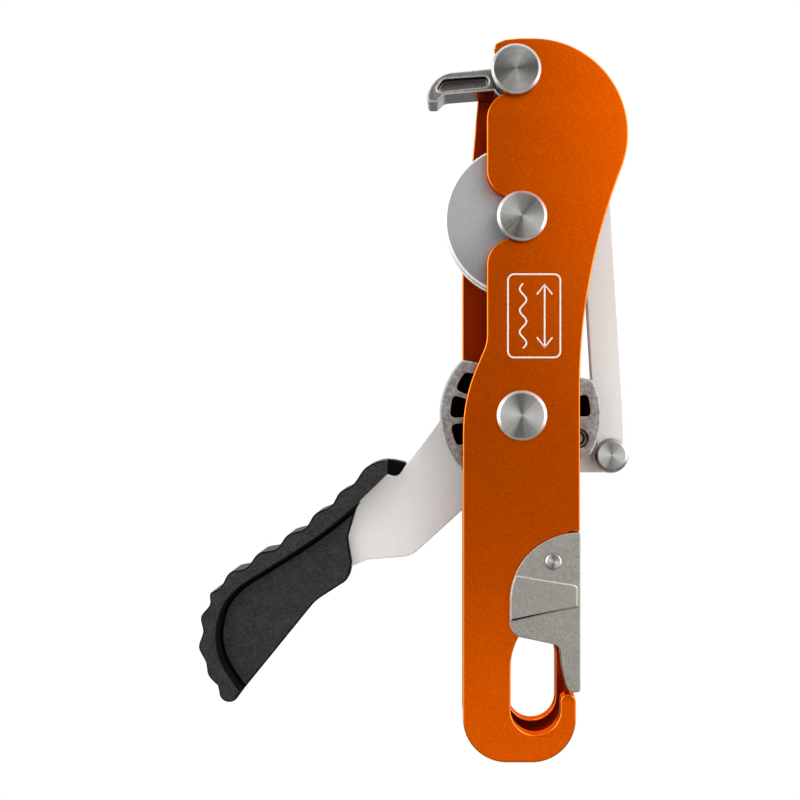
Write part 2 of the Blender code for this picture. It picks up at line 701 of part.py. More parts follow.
def make_cam():
    front, back = INNER_FRONT, CAM_BACK
    middle = (front + back) / 2
    bore = AXLE_JOURNAL_RADIUS + 2 * GAP + BUSH_WALL
    floor = CAM_RADIUS - CAM_GROOVE_DEPTH
    profile = [(bore, front),
               (CAM_RADIUS - CAM_EDGE, front),
               (CAM_RADIUS, front + CAM_EDGE),
               (CAM_RADIUS, front + CAM_LAND),
               (floor + 0.4, (front + CAM_LAND + middle) / 2),
               (floor, middle),
               (floor + 0.4, (back - CAM_LAND + middle) / 2),
               (CAM_RADIUS, back - CAM_LAND),
               (CAM_RADIUS, back - CAM_EDGE),
               (CAM_RADIUS - CAM_EDGE, back),
               (bore, back)]
    cam = turned("lower_cam_bobbin", profile, AXLE, CAST, FACETS_LARGE)
    slope = direction(CAM_TOP_SLOPE)
    up = Vector((-slope.y, slope.x))
    left_end = AXLE + Vector((CAM_TOP_LEFT_X, CAM_TOP_LEFT))
    outside = [left_end - 30 * slope, left_end + 90 * slope,
               left_end + 90 * slope + 40 * up, left_end - 30 * slope + 40 * up]
    cut(cam, slab("flat_top", [outside], front - 1, back + 1, collection=CUTTERS))
    foot = rounded([(AXLE.x + x, AXLE.y - z, 2.0) for x, z in (
        (CAM_FOOT_LEFT, CAM_FOOT_DROP), (2 * CAM_RADIUS, CAM_FOOT_DROP),
        (2 * CAM_RADIUS, 2 * CAM_RADIUS), (CAM_FOOT_LEFT - 4, 2 * CAM_RADIUS))])
    cut(cam, slab("foot", [foot], front - 1, back + 1, collection=CUTTERS))
    for start, stop in CAM_POCKETS:
        cut(cam, slab("pocket", [cam_window(start, stop, left_end, up)], front - 1,
                      front + CAM_POCKET_DEPTH, collection=CUTTERS))
    cut(cam, cylinder("spring_cavity", AXLE, SPRING_CAVITY_RADIUS, front - 1,
                      front + SPRING_CAVITY_DEPTH, collection=CUTTERS))
    cut(cam, cylinder("drive_hole", DRIVE_PIN, DRIVE_PIN_RADIUS + GAP / 2, front - 1, back + 1,
                      facets=FACETS_SMALL, collection=CUTTERS))
    cut(cam, cylinder("drive_counterbore", DRIVE_PIN, DRIVE_COUNTERBORE_RADIUS, front - 1,
                      front + DRIVE_PIN_SINK, facets=FACETS_SMALL, collection=CUTTERS))
    lean = (LINK_TOP - LINK_LOW).normalized()
    across = Vector((lean.y, -lean.x))
    beside = LINK_LOW - across * (LINK_WIDTH / 2 + 2 * GAP)
    room = [beside - 10 * lean, beside + 60 * lean,
            beside + 60 * lean + 30 * across, beside - 10 * lean + 30 * across]
    cut(cam, slab("link_room", [room], LINK_FRONT - GAP, back + 1, collection=CUTTERS))
    return cam


def lever_outline():
    """Hub, crank to the link on the right, and the arm that runs into the grip."""
    def at(x, z, radius=0.0):
        return (AXLE.x + x, AXLE.y + z, radius)

    end = LINK_END_RADIUS
    crank = LINK_LOW - AXLE
    right = crank.x + end
    corners = [at(-22.0, 4.5, 12.0), at(0, 20.0, 20.0), at(18.0, 4.0, 14.0),
               at(right, crank.y + end, end), at(right, crank.y - end, end),
               at(-5.0, crank.y - end, 10.0),
               at(-36.3, -47.6, 8.0), at(-51.0, -48.8, 3.0), at(-66.0, -55.0, 2.5),
               at(-96.0, -86.0, 3.0), at(-99.0, -80.0, 3.0), at(-76.0, -48.0, 4.0),
               at(-52.0, -25.0, 3.0), at(-46.0, -19.4, 1.5), at(-41.0, -21.0, 2.6),
               at(-37.4, -15.8, 4.0)]
    return rounded(corners)


def make_lever():
    bore = AXLE_JOURNAL_RADIUS + 2 * GAP + BUSH_WALL
    holes = [circle(AXLE, bore, FACETS_MEDIUM),
             circle(LINK_LOW, LINK_PIN_RADIUS + GAP / 2, FACETS_SMALL),
             circle(DRIVE_PIN, DRIVE_PIN_RADIUS + GAP / 2, FACETS_SMALL)]
    return slab("handle_lever", [lever_outline()] + holes, LEVER_FRONT, INNER_REAR, BLASTED, 0.35,
                pivot=AXLE)


def make_cam_bush():
    return ring("cam_bush", AXLE, AXLE_JOURNAL_RADIUS + GAP, AXLE_JOURNAL_RADIUS + GAP + BUSH_WALL,
                INNER_FRONT + SPRING_CAVITY_DEPTH - 1.0, INNER_REAR - BUSH_RECESS, BRONZE)


def make_drive_pin():
    return cylinder("drive_pin", DRIVE_PIN, DRIVE_PIN_RADIUS, INNER_FRONT + DRIVE_PIN_SINK + GAP,
                    INNER_REAR - BUSH_RECESS, STEEL, FACETS_SMALL)


def smooth_line(points, steps):
    """A smooth line through points, with so many steps from each to the next."""
    line = []
    for i in range(len(points) - 1):
        p0, p1 = points[max(i - 1, 0)], points[i]
        p2, p3 = points[i + 1], points[min(i + 2, len(points) - 1)]
        for t in [step / steps for step in range(steps)]:
            line.append(0.5 * (2 * p1 + (p2 - p0) * t + (2 * p0 - 5 * p1 + 4 * p2 - p3) * t * t
                               + (3 * p1 - p0 - 3 * p2 + p3) * t ** 3))
    return line + [points[-1]]


def scalloped_side():
    """The grip's outer side, from its end on the lever to its tip: bumps between valleys."""
    valleys = [AXLE + Vector(valley) for valley in GRIP_VALLEYS]
    points = [AXLE + Vector(p) for p in ((-42.0, -15.2), (-46.3, -15.2), (-51.3, -17.5))]
    for valley, following, height in zip(valleys, valleys[1:], GRIP_BUMPS):
        run = (following - valley).normalized()
        points += [valley, (valley + following) / 2 + height * Vector((run.y, -run.x))]
    return smooth_line(points + [valleys[-1]], 3)


def grip_outline():
    """Scalloped side, round tip and inner side, back to the end that curls over the lever."""
    def at(x, z, radius=0.0):
        return (AXLE.x + x, AXLE.y + z, radius)

    tip = arc(AXLE + Vector((-96.4, -91.8)), GRIP_TIP_RADIUS, math.radians(180),
              math.radians(325))
    inner_side = [at(-68.2, -62.3, 14.0), at(-57.3, -55.3, 4.5), at(-56.0, -49.5, 2.0),
                  at(-57.4, -41.0, 6.0), at(-54.3, -30.6, 5.0), at(-43.8, -21.0, 2.0),
                  at(-37.6, -21.2, 1.2), at(-36.4, -18.6, 1.0), at(-38.6, -16.0, 1.2)]
    return rounded([(p.x, p.y, 0) for p in scalloped_side() + tip] + inner_side)


def grip_panel_outline():
    """Side of the grip that lies lower than its raised outer band."""
    border = smooth_line([Vector(point) for point in GRIP_BORDER], 2)
    outside = [Vector(point) for point in ((-86.0, -93.0), (-48.0, -60.0), (-48.0, -31.0))]
    return [AXLE + point for point in border + outside]


def make_grip():
    """Rubber grip over the end of the lever, hollow where the lever runs in it."""
    half = GRIP_BAND_THICKNESS / 2
    near, far = LEVER_MIDDLE - half, LEVER_MIDDLE + half
    grip = slab("handle_grip", [grip_outline()], near, far, RUBBER, GRIP_EDGE, pivot=AXLE)
    panel_half = GRIP_PANEL_THICKNESS / 2
    for low, high in ((near - 1, LEVER_MIDDLE - panel_half), (LEVER_MIDDLE + panel_half, far + 1)):
        cut(grip, slab("panel", [grip_panel_outline()], low, high, collection=CUTTERS))
    front_end = AXLE.x - GRIP_FRONT_END
    bare = AXLE + Vector((-53.6, -28.9))
    beside_end = [Vector((front_end, AXLE.y)), Vector((front_end, AXLE.y - 19.8)), bare,
                  Vector((bare.x, AXLE.y - GRIP_FRONT_END)),
                  Vector((AXLE.x, AXLE.y - GRIP_FRONT_END)), AXLE]
    cut(grip, slab("front_end", [beside_end], near - 1, LEVER_MIDDLE, collection=CUTTERS))
    slit = slab("lever_slit", [lever_outline_grown()], LEVER_FRONT - GAP, INNER_REAR + GAP,
                collection=CUTTERS)
    return cut(grip, slit)


def lever_outline_grown():
    """The lever's outline, moved outwards by the gap."""
    outline = lever_outline()
    grown = []
    count = len(outline)
    for i, point in enumerate(outline):
        ahead = (outline[(i + 1) % count] - outline[i - 1]).normalized()
        outward = Vector((-ahead.y, ahead.x))
        grown.append(point + outward * GAP)
    return grown


def make_link_bar():
    lean = (LINK_TOP - LINK_LOW).normalized()
    across = Vector((lean.y, -lean.x))
    half = LINK_WIDTH / 2
    turn = math.atan2(across.y, across.x)
    low = arc(LINK_LOW, LINK_END_RADIUS, turn + LINK_FLARE, turn - math.pi - LINK_FLARE)
    top = arc(LINK_TOP, half, turn + math.pi, turn)
    shoulder = LINK_LOW + lean * LINK_SHOULDER
    outline = top + [shoulder + across * half] + low + [shoulder - across * half]
    holes = [circle(LINK_LOW, LINK_PIN_RADIUS + GAP, FACETS_SMALL),
             circle(LINK_TOP, LINK_PIN_RADIUS + LINK_SLACK, FACETS_SMALL)]
    return slab("link_bar", [outline] + holes, LINK_FRONT, LINK_BACK, BLASTED, 0.4,
                pivot=LINK_LOW)


def make_link_lower_pin():
    head_back = LINK_FRONT - GAP
    front = head_back - LINK_HEAD_HEIGHT
    end = INNER_REAR + 2 * GAP + LINK_CLIP_THICKNESS + LINK_PIN_END
    profile = [(0, front),
               (LINK_HEAD_RADIUS - LINK_HEAD_CHAMFER, front),
               (LINK_HEAD_RADIUS, front + LINK_HEAD_CHAMFER),
               (LINK_HEAD_RADIUS, head_back),
               (LINK_PIN_RADIUS, head_back),
               (LINK_PIN_RADIUS, end),
               (0, end)]
    return turned("link_lower_pin", profile, LINK_LOW, STEEL, 32)


def retaining_clip(name, centre, near):
    """A flat snap ring with its mouth open."""
    inner, outer = LINK_PIN_RADIUS + GAP / 2, LINK_PIN_RADIUS + LINK_CLIP_WIDTH
    start = -math.pi / 2 + LINK_CLIP_MOUTH
    stop = 3 * math.pi / 2 - LINK_CLIP_MOUTH
    outline = arc(centre, outer, stop, start) + arc(centre, inner, start, stop)
    return slab(name, [outline], near, near + LINK_CLIP_THICKNESS, STEEL)


def make_top_arm():
    """Cast arm: a deep nose on the left, a hub on the top post, and a thin tab to the link."""
    def at(x, z, radius=0.0):
        return (TOP_POST.x + x, TOP_POST.y + z, radius)

    nose = rounded([at(2.0, 3.4, 1.0), at(-23.0, 1.2, 9.0), at(-27.2, -1.9, 9.0),
                    at(-29.1, -6.4, 3.0), at(-28.5, -8.5, 1.2), at(-25.7, -8.5, 1.5),
                    at(-23.0, -6.0, 3.0), at(2.0, -4.0, 1.0)])
    arm = slab("top_brake_arm", [nose], INNER_FRONT, INNER_REAR, CAST, ARM_EDGE, pivot=TOP_POST)
    hub = cylinder("hub", TOP_POST, ARM_HUB_RADIUS, INNER_FRONT, INNER_REAR,
                   collection=CUTTERS)
    join(arm, hub)
    lean = direction(ROCKER_ANGLE)
    side = Vector((-lean.y, lean.x))
    root = side * ARM_TAB_ROOT
    tab = [TOP_POST + root, *arc(LINK_TOP, ARM_TAB_RADIUS, ROCKER_ANGLE + math.pi / 2,
                                 ROCKER_ANGLE - math.pi / 2), TOP_POST - root]
    join(arm, slab("tab", [tab], INNER_FRONT, INNER_FRONT + ARM_TAB_THICKNESS,
                   collection=CUTTERS))
    bore = TOP_POST_BODY + 2 * GAP + ARM_BUSH_WALL
    cut(arm, cylinder("bore", TOP_POST, bore, INNER_FRONT - 1, INNER_REAR + 1,
                      collection=CUTTERS))
    cut(arm, cylinder("pin_hole", LINK_TOP, LINK_PIN_RADIUS + GAP / 2, INNER_FRONT - 1,
                      INNER_FRONT + ARM_TAB_THICKNESS + 1, facets=FACETS_SMALL,
                      collection=CUTTERS))
    pocket = rounded([at(-26.9, -5.8, 1.2), at(-23.6, -0.9, 2.5), at(-8.7, 0.1, 1.6),
                      at(-8.6, -3.3, 1.6), at(-22.0, -4.7, 3.0)])
    for near, far in ((INNER_FRONT - 1, INNER_FRONT + ARM_POCKET_DEPTH),
                      (INNER_REAR - ARM_POCKET_DEPTH, INNER_REAR + 1)):
        cut(arm, slab("arm_pocket", [pocket], near, far, collection=CUTTERS))
    return arm


def make_arm_bush():
    inner = TOP_POST_BODY + GAP
    return ring("top_arm_bush", TOP_POST, inner, inner + ARM_BUSH_WALL,
                INNER_FRONT + BUSH_RECESS, INNER_REAR - BUSH_RECESS, BRONZE)


def make_link_upper_pin():
    end = LINK_BACK + 2 * GAP + LINK_CLIP_THICKNESS + LINK_PIN_END
    return cylinder("link_upper_pin", LINK_TOP, LINK_PIN_RADIUS, INNER_FRONT + BUSH_RECESS, end,
                    STEEL, FACETS_SMALL)


def gate_round(inset, start, stop):
    """Part of the quarter circle at the gate's upper left, moved inwards by an inset."""
    centre = Vector((GATE_LEFT_EDGE + GATE_ROUND, SHOULDER_HEIGHT - GAP - GATE_ROUND))
    return [(p.x, p.y, 0) for p in arc(centre, GATE_ROUND - inset, start, stop)]


def gate_outline():
    top = SHOULDER_HEIGHT - GAP
    return rounded([(GATE_RIGHT_EDGE, top, 0.4),
                    (GATE_RIGHT_EDGE, GATE_TIP_HEIGHT, 1.2),
                    (GATE_CORE_EDGE - 0.4, GATE_TIP_HEIGHT, 2.0),
                    (GATE_CORE_EDGE - 2.1, GATE_TIP_HEIGHT + 7.1, 10.0),
                    (GATE_CORE_EDGE - 3.1, top - 36.6, 3.4),
                    (GATE_LEFT_EDGE, top - 33.1, 4.8)] + gate_round(0, math.pi, math.pi / 2))


def thumb_pad_outline():
    """Raised pad across the gate, from its left side to its right edge."""
    top, edge = SHOULDER_HEIGHT - GAP, GATE_RIGHT_EDGE
    leave = math.pi - math.asin((GATE_ROUND - GATE_PAD_DROP) / (GATE_ROUND - GATE_PAD_INSET))
    left_side = gate_round(GATE_PAD_INSET, math.pi, leave)
    return rounded([(GATE_LEFT_EDGE + GATE_PAD_INSET, top - 28.8, 0.3)] + left_side
                   + [(edge - 2.2, top - 16.5, 0.8), (edge - 0.8, top - 17.4, 0.8),
                      (edge - 1.0, top - 24.2, 0.8), (edge - 2.6, top - 24.6, 0.4)])


def plate_room_outline():
    """Space between the gate's cheeks, left of the core that closes the mouth."""
    over, under, beyond = SHOULDER_HEIGHT + 5, GATE_TIP_HEIGHT - 5, GATE_LEFT_EDGE - 5
    edge = GATE_CORE_EDGE
    return rounded([(edge, over, 0), (edge, SHOULDER_HEIGHT - 34.1, 1.5),
                    (edge - 2.0, GATE_TIP_HEIGHT + 11.4, 1.5), (edge - 1.3, GATE_TIP_HEIGHT + 3.9, 1.0),
                    (edge, under, 0), (beyond, under, 0), (beyond, over, 0)])


def make_gate():
    """Spring gate: two cheeks over the plate, joined by a core that closes the mouth."""
    front = -GAP - GATE_CHEEK
    back = INNER_FRONT + GATE_CHEEK
    pin_hole = circle(GATE_PIN, GATE_PIN_RADIUS + GAP, FACETS_SMALL)
    gate = slab("gate", [gate_outline(), pin_hole], front, back, GATE_GREY, 0.3, pivot=GATE_PIN)
    cut(gate, slab("plate_room", [plate_room_outline()], -GAP, INNER_FRONT, collection=CUTTERS))
    thumb_pad = slab("thumb_pad", [thumb_pad_outline()], front - GATE_PAD_HEIGHT, front + 0.5,
                     collection=CUTTERS)
    return join(gate, thumb_pad)


def make_gate_pin():
    """Pin pressed in the plate's lug; the gate turns on both its ends."""
    front = -2 * GAP - GATE_CHEEK - GATE_PIN_HEAD_HEIGHT
    head_back = front + GATE_PIN_HEAD_HEIGHT
    end = INNER_FRONT + GATE_CHEEK + GATE_PIN_END
    profile = [(0, front), (GATE_PIN_HEAD_RADIUS - 0.3, front),
               (GATE_PIN_HEAD_RADIUS, front + 0.3), (GATE_PIN_HEAD_RADIUS, head_back),
               (GATE_PIN_RADIUS, head_back), (GATE_PIN_RADIUS, end), (0, end)]
    return turned("gate_pin", profile, GATE_PIN, STEEL, FACETS_SMALL)


def coil_points(centre, radius, start_depth, pitch, turns, per_turn, begin):
    count = round(turns * per_turn)
    return [(centre[0] + radius * math.cos(begin + 2 * math.pi * i / per_turn),
             start_depth + pitch * i / per_turn,
             centre[1] + radius * math.sin(begin + 2 * math.pi * i / per_turn))
            for i in range(count + 1)]


def make_gate_spring():
    """Small torsion spring in the plate's pocket; its leg bears on the gate's core."""
    per_turn = 10
    wire = GATE_SPRING_WIRE
    coil_start = FRONT_BACK - GATE_POCKET_DEPTH + wire + 0.2
    pitch = (GATE_POCKET_DEPTH - 2 * wire - 0.5) / GATE_SPRING_TURNS
    begin = math.radians(-90) - 2 * math.pi * GATE_SPRING_TURNS
    points = coil_points(GATE_PIN, GATE_SPRING_COIL, coil_start, pitch, GATE_SPRING_TURNS,
                         per_turn, begin)
    x, depth, z = points[-1]
    leg_end = GATE_CORE_EDGE - wire - GAP
    points += [(x + (leg_end - x) * share, depth, z) for share in (0.5, 1.0)]
    print("gate_spring least gap to itself, mm:",
          round(least_gap(points, wire, per_turn), 3))
    return tube("gate_spring", points, wire, SPRING_WIRE, GATE_PIN)


def make_return_spring():
    """Torsion spring round the axle, in the cam's cavity."""
    per_turn = 16
    wire = RETURN_WIRE_RADIUS
    start = INNER_FRONT + wire + GAP
    pitch = (SPRING_CAVITY_DEPTH - 2 * wire - 2 * GAP) / RETURN_TURNS
    points = coil_points(AXLE, RETURN_COIL_RADIUS, start, pitch, RETURN_TURNS, per_turn,
                         math.radians(20))
    print("return_spring least gap to itself, mm:",
          round(least_gap(points, wire, per_turn), 3))
    return tube("return_spring", points, wire, SPRING_WIRE, AXLE)


def stop_pin_centre():
    """Just under the lever's crank, where the crank rests on it."""
    below_crank = LINK_LOW.y - LINK_END_RADIUS
    return Vector((AXLE.x + STOP_PIN_X, below_crank - GAP - STOP_PIN_RADIUS))


def make_stop_pin():
    return cylinder("lever_stop_pin", stop_pin_centre(), STOP_PIN_RADIUS, LEVER_FRONT,
                    REAR_BACK - PIN_RECESS, STEEL, FACETS_SMALL)


def smooth_rounds():
    for thing in PARTS.objects:
        thing.data.shade_smooth()
        thing.data.set_sharp_from_angle(angle=math.radians(30))


def build():
    make_rear_plate()
    post("main_axle", AXLE, AXLE_JOURNAL_RADIUS, AXLE_JOURNAL_RADIUS)
    post("upper_bobbin_post", BOBBIN, POST_NECK_RADIUS, POST_NECK_RADIUS)
    post("top_post", TOP_POST, POST_NECK_RADIUS, TOP_POST_BODY)
    post_screw("main_axle_screw", AXLE)
    post_screw("upper_bobbin_screw", BOBBIN)
    post_screw("top_post_screw", TOP_POST)
    make_upper_bobbin()
    make_bobbin_dowel()
    make_stop_pin()
    make_front_plate()
    make_front_plate_bush()
    make_gate_pin()
    make_gate()
    make_gate_spring()
    make_cam()
    make_cam_bush()
    make_return_spring()
    make_lever()
    make_drive_pin()
    make_grip()
    make_link_lower_pin()
    retaining_clip("link_lower_clip", LINK_LOW, INNER_REAR + GAP)
    make_link_bar()
    make_top_arm()
    make_arm_bush()
    make_link_upper_pin()
    retaining_clip("link_upper_clip", LINK_TOP, LINK_BACK + GAP)
    smooth_rounds()


build()
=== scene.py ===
"""Looks of an anti-panic descender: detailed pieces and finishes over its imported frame.

Shapes are drawn in millimetres: x to the right, z up, and depth behind the front plate's face.
"""
from math import acos, asin, atan2, ceil, cos, pi, radians, sin, sqrt, tan

import bmesh
import bpy
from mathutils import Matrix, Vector
from mathutils.geometry import tessellate_polygon


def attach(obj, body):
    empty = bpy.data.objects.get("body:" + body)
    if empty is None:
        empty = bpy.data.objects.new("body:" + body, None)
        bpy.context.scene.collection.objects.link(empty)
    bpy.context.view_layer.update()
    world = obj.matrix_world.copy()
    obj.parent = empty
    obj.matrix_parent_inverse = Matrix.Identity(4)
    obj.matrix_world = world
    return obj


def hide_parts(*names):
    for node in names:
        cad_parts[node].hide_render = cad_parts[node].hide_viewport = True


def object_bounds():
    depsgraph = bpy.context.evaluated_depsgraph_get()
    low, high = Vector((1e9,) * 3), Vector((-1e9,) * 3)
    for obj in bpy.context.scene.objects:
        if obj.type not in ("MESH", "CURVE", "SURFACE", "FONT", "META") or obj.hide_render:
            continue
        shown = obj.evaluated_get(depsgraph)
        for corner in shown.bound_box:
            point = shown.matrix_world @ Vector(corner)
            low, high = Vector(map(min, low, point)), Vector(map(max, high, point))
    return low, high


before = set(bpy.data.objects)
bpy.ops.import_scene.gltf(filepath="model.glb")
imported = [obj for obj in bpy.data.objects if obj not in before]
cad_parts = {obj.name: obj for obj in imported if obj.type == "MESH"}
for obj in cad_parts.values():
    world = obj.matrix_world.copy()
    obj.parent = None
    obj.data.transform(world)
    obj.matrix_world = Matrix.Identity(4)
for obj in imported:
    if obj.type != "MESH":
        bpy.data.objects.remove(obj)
cad_low, cad_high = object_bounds()
scene = bpy.context.scene

MM = 0.001

# Layers of the descender, as depths
GAP = 0.3
PLATE_THICKNESS = 5.4
PLATE_SPACING = 13.8
FRONT_BACK = PLATE_THICKNESS
INNER_FRONT = FRONT_BACK + GAP
REAR_FACE = PLATE_THICKNESS + PLATE_SPACING
INNER_REAR = REAR_FACE - GAP
REAR_BACK = REAR_FACE + PLATE_THICKNESS
MIDDLE_DEPTH = REAR_BACK / 2
LEVER_THICKNESS = 3.2
LEVER_FRONT = INNER_REAR - LEVER_THICKNESS
LEVER_MIDDLE = INNER_REAR - LEVER_THICKNESS / 2
CAM_BACK = LEVER_FRONT - GAP
LINK_THICKNESS = 4.2
LINK_BACK = CAM_BACK
LINK_FRONT = LINK_BACK - LINK_THICKNESS

# Axes that run through the depth
AXLE = Vector((-4.6, 95.7))
BOBBIN = AXLE + Vector((0, 64.3))
TOP_POST = BOBBIN + Vector((-1.9, 47.4))
POSTS = (AXLE, BOBBIN, TOP_POST)
GATE_PIN = Vector((5.6, 48.5))
CRANK_LENGTH, CRANK_ANGLE = 33.35, radians(-23.6)
ROCKER_LENGTH, ROCKER_ANGLE = 28.4, radians(-25.0)
DRIVE_REACH, DRIVE_ANGLE = 20.7, radians(-21.6)

# Side plates
PLATE_EDGE = 0.5
HEAD_RADIUS = 30.85
HEAD_ABOVE_BOBBIN = 27.3
HEAD_OFFSET = 3.8
WAIST_RADIUS = 198.0
PLATE_WIDTH = 38.0
LOBE_EDGE = 11.2
LOBE_CORNER = 8.6
HOOK_REACH = 6.8
HOOK_LIP = 0.9
HOOK_RISE = 0.3
HOOK_TIP = 2.0
HOOK_TAPER = 3.3
HOOK_DROP = 0.45
WAIST_LOW = 5.2
WAIST_HIGH = 23.6
WAIST_LOW_FILLET = 53.0
WAIST_HIGH_FILLET = 13.5
FOOT_CORNER = 14.3
FOOT = -17.0
REAR_LEAN_START = 145.0
REAR_LEAN = radians(5.2)
REAR_CORNER = 7.0
EYE_RADIUS = 8.1
EYE_HEIGHT = 22.4
HOOK_EDGE = 13.1
NOSE_HEIGHT = 5.1
NOSE_FILLET = 2.35
SHOULDER_HEIGHT = 58.1
LUG_RADIUS = 5.0
MOUTH_SLANT = radians(35.0)
MOUTH_FILLET = 20.4
SHOULDER_FILLET = 0.9
RIGHT_EDGE = AXLE.x + PLATE_WIDTH / 2
LEFT_EDGE = AXLE.x - PLATE_WIDTH / 2
NOTCH_RADIUS = 6.6
POCKET_RADIUS, POCKET_DEPTH = 4.0, 3.2

# Posts, pins and screws
POST_HEAD_RADIUS = 8.1
POST_HEAD_HEIGHT = 3.6
POST_HEAD_CHAMFER = 0.95
POST_NECK_RADIUS = 6.0
POST_CORE_RADIUS = 4.6
TOP_POST_BODY = 5.0
JOURNAL_RADIUS = 5.0
BUSH_WALL = 1.5
AXLE_BORE = JOURNAL_RADIUS + BUSH_WALL + 2 * GAP
ARM_BUSH_WALL = 1.0
SCREW_RADIUS = 7.2
SCREW_HEIGHT = 2.6
SCREW_SOCKET = 2.6
SCREW_SOCKET_DEPTH = 1.7
LINK_PIN_RADIUS = 2.5
LINK_HEAD_RADIUS = 5.6
LINK_HEAD_HEIGHT = 2.0
LINK_PLAY = 0.65
GATE_PIN_RADIUS = 1.5
GATE_PIN_HEAD, GATE_PIN_HEAD_HEIGHT = 2.6, 0.8
STOP_PIN_RADIUS = 1.75
DOWEL_REACH, DOWEL_RADIUS = 12.5, 1.6

# Bobbin and cam
BOBBIN_RADIUS = 24.9
BOBBIN_GROOVE_RADIUS = 17.5
CAM_RADIUS = 26.6
CAM_RIM = 3.5
CAM_GROOVE_DEPTH = 1.9
CAM_POCKET_DEPTH = 6.8
CAM_POCKET_INNER = 12.6
CAM_POCKETS = [(120.0, 158.5), (163.0, 182.0), (187.5, 206.5), (211.5, 230.5), (-1.0, 18.0)]
CAM_TOP_LEFT = Vector((-18.0, 18.1))
CAM_TOP_SLOPE = radians(-8.6)
CAM_TOP_WALL = 3.9
SPRING_CAVITY_RADIUS, SPRING_CAVITY_DEPTH = 10.8, 6.0
DRIVE_SEAT_RADIUS, DRIVE_SEAT_DEPTH = 3.2, 2.2

# Lever, grip and link
LINK_WIDTH = 10.3
LINK_END_RADIUS = 6.0
BAND_THICKNESS = 19.0
PANEL_THICKNESS = 9.6
DITCH_DEPTH = 1.3
GRIP_FRONT_END = 44.3
GRIP_VALLEYS = [(-55.3, -22.9), (-62.6, -30.0), (-71.3, -37.5), (-80.8, -44.2),
                (-90.7, -50.5), (-99.3, -57.1), (-102.9, -62.9), (-105.1, -71.8),
                (-104.2, -81.8), (-100.2, -89.6)]
GRIP_BUMPS = [1.2, 1.4, 1.5, 1.8, 2.0, 1.8, 1.8, 1.8, 1.2]

# Brake arm
ARM_HUB_RADIUS = 8.2
ARM_POCKET_DEPTH = 2.5
TAB_RADIUS, TAB_THICKNESS = 6.4, 5.2

# Gate
GATE_CHEEK = 1.2
GATE_RIGHT_EDGE = 14.4
GATE_LEFT_EDGE = -8.6
GATE_ROUND = 22.4
GATE_CORE_EDGE = 10.9
GATE_TIP_HEIGHT = 6.1
GATE_PAD_HEIGHT = 0.6
GATE_PAD_DROP = 13.4
SIGN_MIDDLE = Vector((-0.5, 128.0))
SIGN_STROKE, SIGN_FILM = 0.54, 0.04


# ---- outlines

ARC_STEP = radians(3.0)


def direction(angle):
    return Vector((cos(angle), sin(angle)))


LINK_LOW = AXLE + CRANK_LENGTH * direction(CRANK_ANGLE)
LINK_TOP = TOP_POST + ROCKER_LENGTH * direction(ROCKER_ANGLE)
DRIVE_PIN = AXLE + DRIVE_REACH * direction(DRIVE_ANGLE)
LINK_LEAN = (LINK_TOP - LINK_LOW).normalized()
LINK_ACROSS = Vector((LINK_LEAN.y, -LINK_LEAN.x))
STOP_PIN = Vector((AXLE.x + 9.0, LINK_LOW.y - LINK_END_RADIUS - GAP - STOP_PIN_RADIUS))


def arc(centre, radius, start, stop, step=ARC_STEP):
    steps = max(2, ceil(abs(stop - start) / step))
    return [Vector(centre) + radius * direction(start + (stop - start) * i / steps)
            for i in range(steps + 1)]


def circle(centre, radius, facets=96):
    return [Vector(centre) + radius * direction(2 * pi * i / facets)
            for i in range(facets)]


def rounded(corners):
    """Closed outline through corners (x, z, fillet radius); fillets that meet are made smaller."""
    points = [Vector(corner[:2]) for corner in corners]
    backs = [points[i - 1] - here for i, here in enumerate(points)]
    aheads = [-back for back in backs[1:] + backs[:1]]
    halves = [back.angle(ahead) / 2 for back, ahead in zip(backs, aheads)]
    reaches = [radius / tan(half) if radius > 0 else 0
               for (_, _, radius), half in zip(corners, halves)]
    fits = [min(1, 0.98 * back.length / max(0.001, reaches[i - 1] + reaches[i]))
            for i, back in enumerate(backs)]
    outline = []
    for i, here in enumerate(points):
        reach = reaches[i] * min(fits[i], fits[(i + 1) % len(fits)])
        if reach <= 0:
            outline.append(here)
            continue
        radius = reach * tan(halves[i])
        back, ahead = backs[i].normalized(), aheads[i].normalized()
        centre = here + (back + ahead).normalized() * (radius / sin(halves[i]))
        spoke = here + back * reach - centre
        begin = atan2(spoke.y, spoke.x)
        turn = spoke.angle_signed(here + ahead * reach - centre)
        outline += arc(centre, radius, begin, begin - turn)
    return outline


def moved(corners, origin):
    """Corners that are drawn from an axis, placed at it."""
    return [(origin.x + x, origin.y + z, radius) for x, z, radius in corners]


def cornered(points, fillet=0):
    """Points as corners, each with the same fillet radius."""
    return [(p.x, p.y, fillet) for p in points]


def tidy(outline):
    """The outline anticlockwise, without points that lie on each other."""
    kept = [p for i, p in enumerate(outline) if (p - outline[i - 1]).length > 0.01]
    area = sum(a.x * b.y - b.x * a.y for a, b in zip(kept, kept[1:] + kept[:1]))
    return kept if area > 0 else kept[::-1]


def inset(outline, distance):
    """The outline moved to its inside by a distance, mitred at its corners."""
    count = len(outline)
    shifted = []
    for i, here in enumerate(outline):
        back = (here - outline[i - 1]).normalized()
        ahead = (outline[(i + 1) % count] - here).normalized()
        side = Vector((-back.y - ahead.y, back.x + ahead.x)).normalized()
        reach = max(0.5, side.dot(Vector((-back.y, back.x))))
        shifted.append(here + side * (distance / reach))
    return shifted


